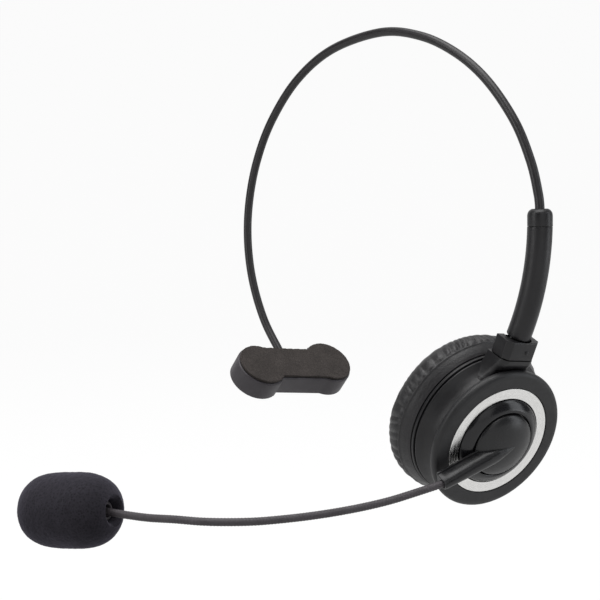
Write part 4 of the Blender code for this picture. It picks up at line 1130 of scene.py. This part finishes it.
for s, tag in ((-1, "a"), (1, "b")):
    at = offset(BAR, BAR_MID_X + s * BAR_HALF, BAR_MID_Y, 0)
    me = screw_mesh("screw", [(0.0, 0.7), (0.6, 0.4), (0.6, -4.6), (1.45, -4.75), (1.45, -5.15), (0.9, -5.33),
                              (0.0, -5.35)], -5.2, True)
    piece("bar_screw_" + tag, me, at, STEEL, "temple_bar", ["temple_bar_screw_" + tag], 30)

# ------------------------------------------------------------------ stage
ROOM_LOW, ROOM_HIGH = 0.05, 0.24
low = CAD_LO.z - 0.075                               # clear of the boom wherever it swings
floor_mat = Mat("studio_floor", (0.93, 0.93, 0.93), 0.9)
floor_mat.paint(floor_mat.mix(floor_mat.ranged(floor_mat.noise(60.0, 3.0), 0, 1, 0.3, 0.7),
                              (0.93, 0.93, 0.93), (0.945, 0.945, 0.945)))
sweep_pts = [(-3.0, 0.0), (1.6, 0.0)]
for i in range(1, 17):
    a = math.radians(90 * i / 16)
    sweep_pts.append((1.6 + 0.9 * math.sin(a), 0.9 * (1 - math.cos(a))))
sweep_pts.append((2.5, 3.6))
away = Vector((-0.7156, 0.6955, 0.0)).normalized()
across = Vector((0.697, 0.717, 0.0)).normalized()
verts, faces = [], []
for d, z in sweep_pts:
    for k in (-4.0, 4.0):
        p = away * d + across * k
        verts.append((p.x, p.y, low + z))
for i in range(len(sweep_pts) - 1):
    faces.append((2 * i, 2 * i + 1, 2 * i + 3, 2 * i + 2))
me = bpy.data.meshes.new("studio_sweep")
me.from_pydata(verts, [], faces)
me.shade_smooth()
backdrop = bpy.data.objects.new("studio_sweep", me)
me.materials.append(floor_mat.m)
scene.collection.objects.link(backdrop)
ft = floor_mat.t                                      # pale and evenly lit to the eye
f_out = ft.nodes["Material Output"]
f_glow = ft.nodes.new("ShaderNodeEmission")
f_glow.inputs[0].default_value = (1.0, 1.0, 1.0, 1)
f_glow.inputs[1].default_value = 1.05
f_dark = ft.nodes.new("ShaderNodeBsdfDiffuse")
f_dark.inputs[0].default_value = (0.34, 0.34, 0.34, 1)
f_seen, f_all = ft.nodes.new("ShaderNodeMixShader"), ft.nodes.new("ShaderNodeMixShader")
f_ray = ft.nodes.new("ShaderNodeLightPath")
f_seen.inputs[0].default_value = 0.90
ft.links.new(floor_mat.b.outputs[0], f_seen.inputs[1])
ft.links.new(f_glow.outputs[0], f_seen.inputs[2])
ft.links.new(f_ray.outputs["Is Camera Ray"], f_all.inputs[0])
f_bounce, f_card = ft.nodes.new("ShaderNodeMixShader"), ft.nodes.new("ShaderNodeEmission")
f_card.inputs[0].default_value = (1.0, 1.0, 1.0, 1)
f_card.inputs[1].default_value = 0.74
ft.links.new(f_ray.outputs["Is Glossy Ray"], f_bounce.inputs[0])
ft.links.new(f_dark.outputs[0], f_bounce.inputs[1])
ft.links.new(f_card.outputs[0], f_bounce.inputs[2])
ft.links.new(f_bounce.outputs[0], f_all.inputs[1])
ft.links.new(f_seen.outputs[0], f_all.inputs[2])
ft.links.new(f_all.outputs[0], f_out.inputs[0])

world = bpy.data.worlds.new("studio")
scene.world = world
world.use_nodes = True
wt = world.node_tree
bg = wt.nodes["Background"]
bg.inputs[1].default_value = 1.0
w_dir = wt.nodes.new("ShaderNodeTexCoord")
w_sep = wt.nodes.new("ShaderNodeSeparateXYZ")
w_up = wt.nodes.new("ShaderNodeMapRange")             # a bright ceiling over a dim room
w_up.interpolation_type = 'SMOOTHSTEP'
for k, v in (("From Min", -0.1), ("From Max", 0.95), ("To Min", ROOM_LOW), ("To Max", ROOM_HIGH)):
    w_up.inputs[k].default_value = v
w_ray = wt.nodes.new("ShaderNodeLightPath")
w_mix = wt.nodes.new("ShaderNodeMix")
wt.links.new(w_dir.outputs["Generated"], w_sep.inputs[0])
wt.links.new(w_sep.outputs["Z"], w_up.inputs["Value"])
wt.links.new(w_ray.outputs["Is Camera Ray"], w_mix.inputs[0])
wt.links.new(w_up.outputs["Result"], w_mix.inputs[2])
w_mix.inputs[3].default_value = 1.0
wt.links.new(w_mix.outputs[0], bg.inputs[0])


def softbox(name, where, target, size, power, colour=(1, 1, 1), size_y=None):
    data = bpy.data.lights.new(name, 'AREA')
    data.shape = 'RECTANGLE'
    data.size = size
    data.size_y = size_y or size
    data.energy = power
    data.color = colour
    ob = bpy.data.objects.new(name, data)
    scene.collection.objects.link(ob)
    ob.location = where
    ob.rotation_mode = 'QUATERNION'
    ob.rotation_quaternion = (Vector(target) - Vector(where)).to_track_quat('-Z', 'Y')
    return ob


MIDDLE = (CAD_LO + CAD_HI) / 2
toward = Vector((0.7156, -0.6955, 0.0651)).normalized()
softbox("key_top", MIDDLE + Vector((0.05, -0.10, 0.95)), MIDDLE, 0.9, 8.0)
softbox("left_strip", MIDDLE - across * 0.75 + toward * 0.35 + Vector((0, 0, 0.30)), MIDDLE, 0.35, 2.4, size_y=0.9)
softbox("front_fill", MIDDLE + toward * 0.9 + across * 0.30 + Vector((0, 0, 0.22)), MIDDLE, 0.7, 1.1)
softbox("right_strip", MIDDLE + across * 0.75 + toward * 0.10 + Vector((0, 0, 0.12)), MIDDLE, 0.30, 1.6,
        (0.93, 0.96, 1.0), 0.9)

view = scene.view_settings
view.view_transform = 'Standard'
view.look = 'None'

# ------------------------------------------------------------------ camera
cam = bpy.data.cameras.new("camera")
cam.lens = 89.65
cam.sensor_width = 36.0
cam.clip_start, cam.clip_end = 0.01, 20.0
cam_ob = bpy.data.objects.new("camera", cam)
scene.collection.objects.link(cam_ob)
c = Vector((0.7156, -0.6955, 0.0651)).normalized()
u = Vector((-0.0467, 0.0454, 0.9979))
r = u.cross(c).normalized()
u = c.cross(r).normalized()
cam_ob.matrix_world = Matrix(((r.x, u.x, c.x, 0.36201), (r.y, u.y, c.y, -0.39139),
                              (r.z, u.z, c.z, -0.05836), (0, 0, 0, 1)))
scene.camera = cam_ob

for coll in (shop,):
    bpy.data.collections.remove(coll)
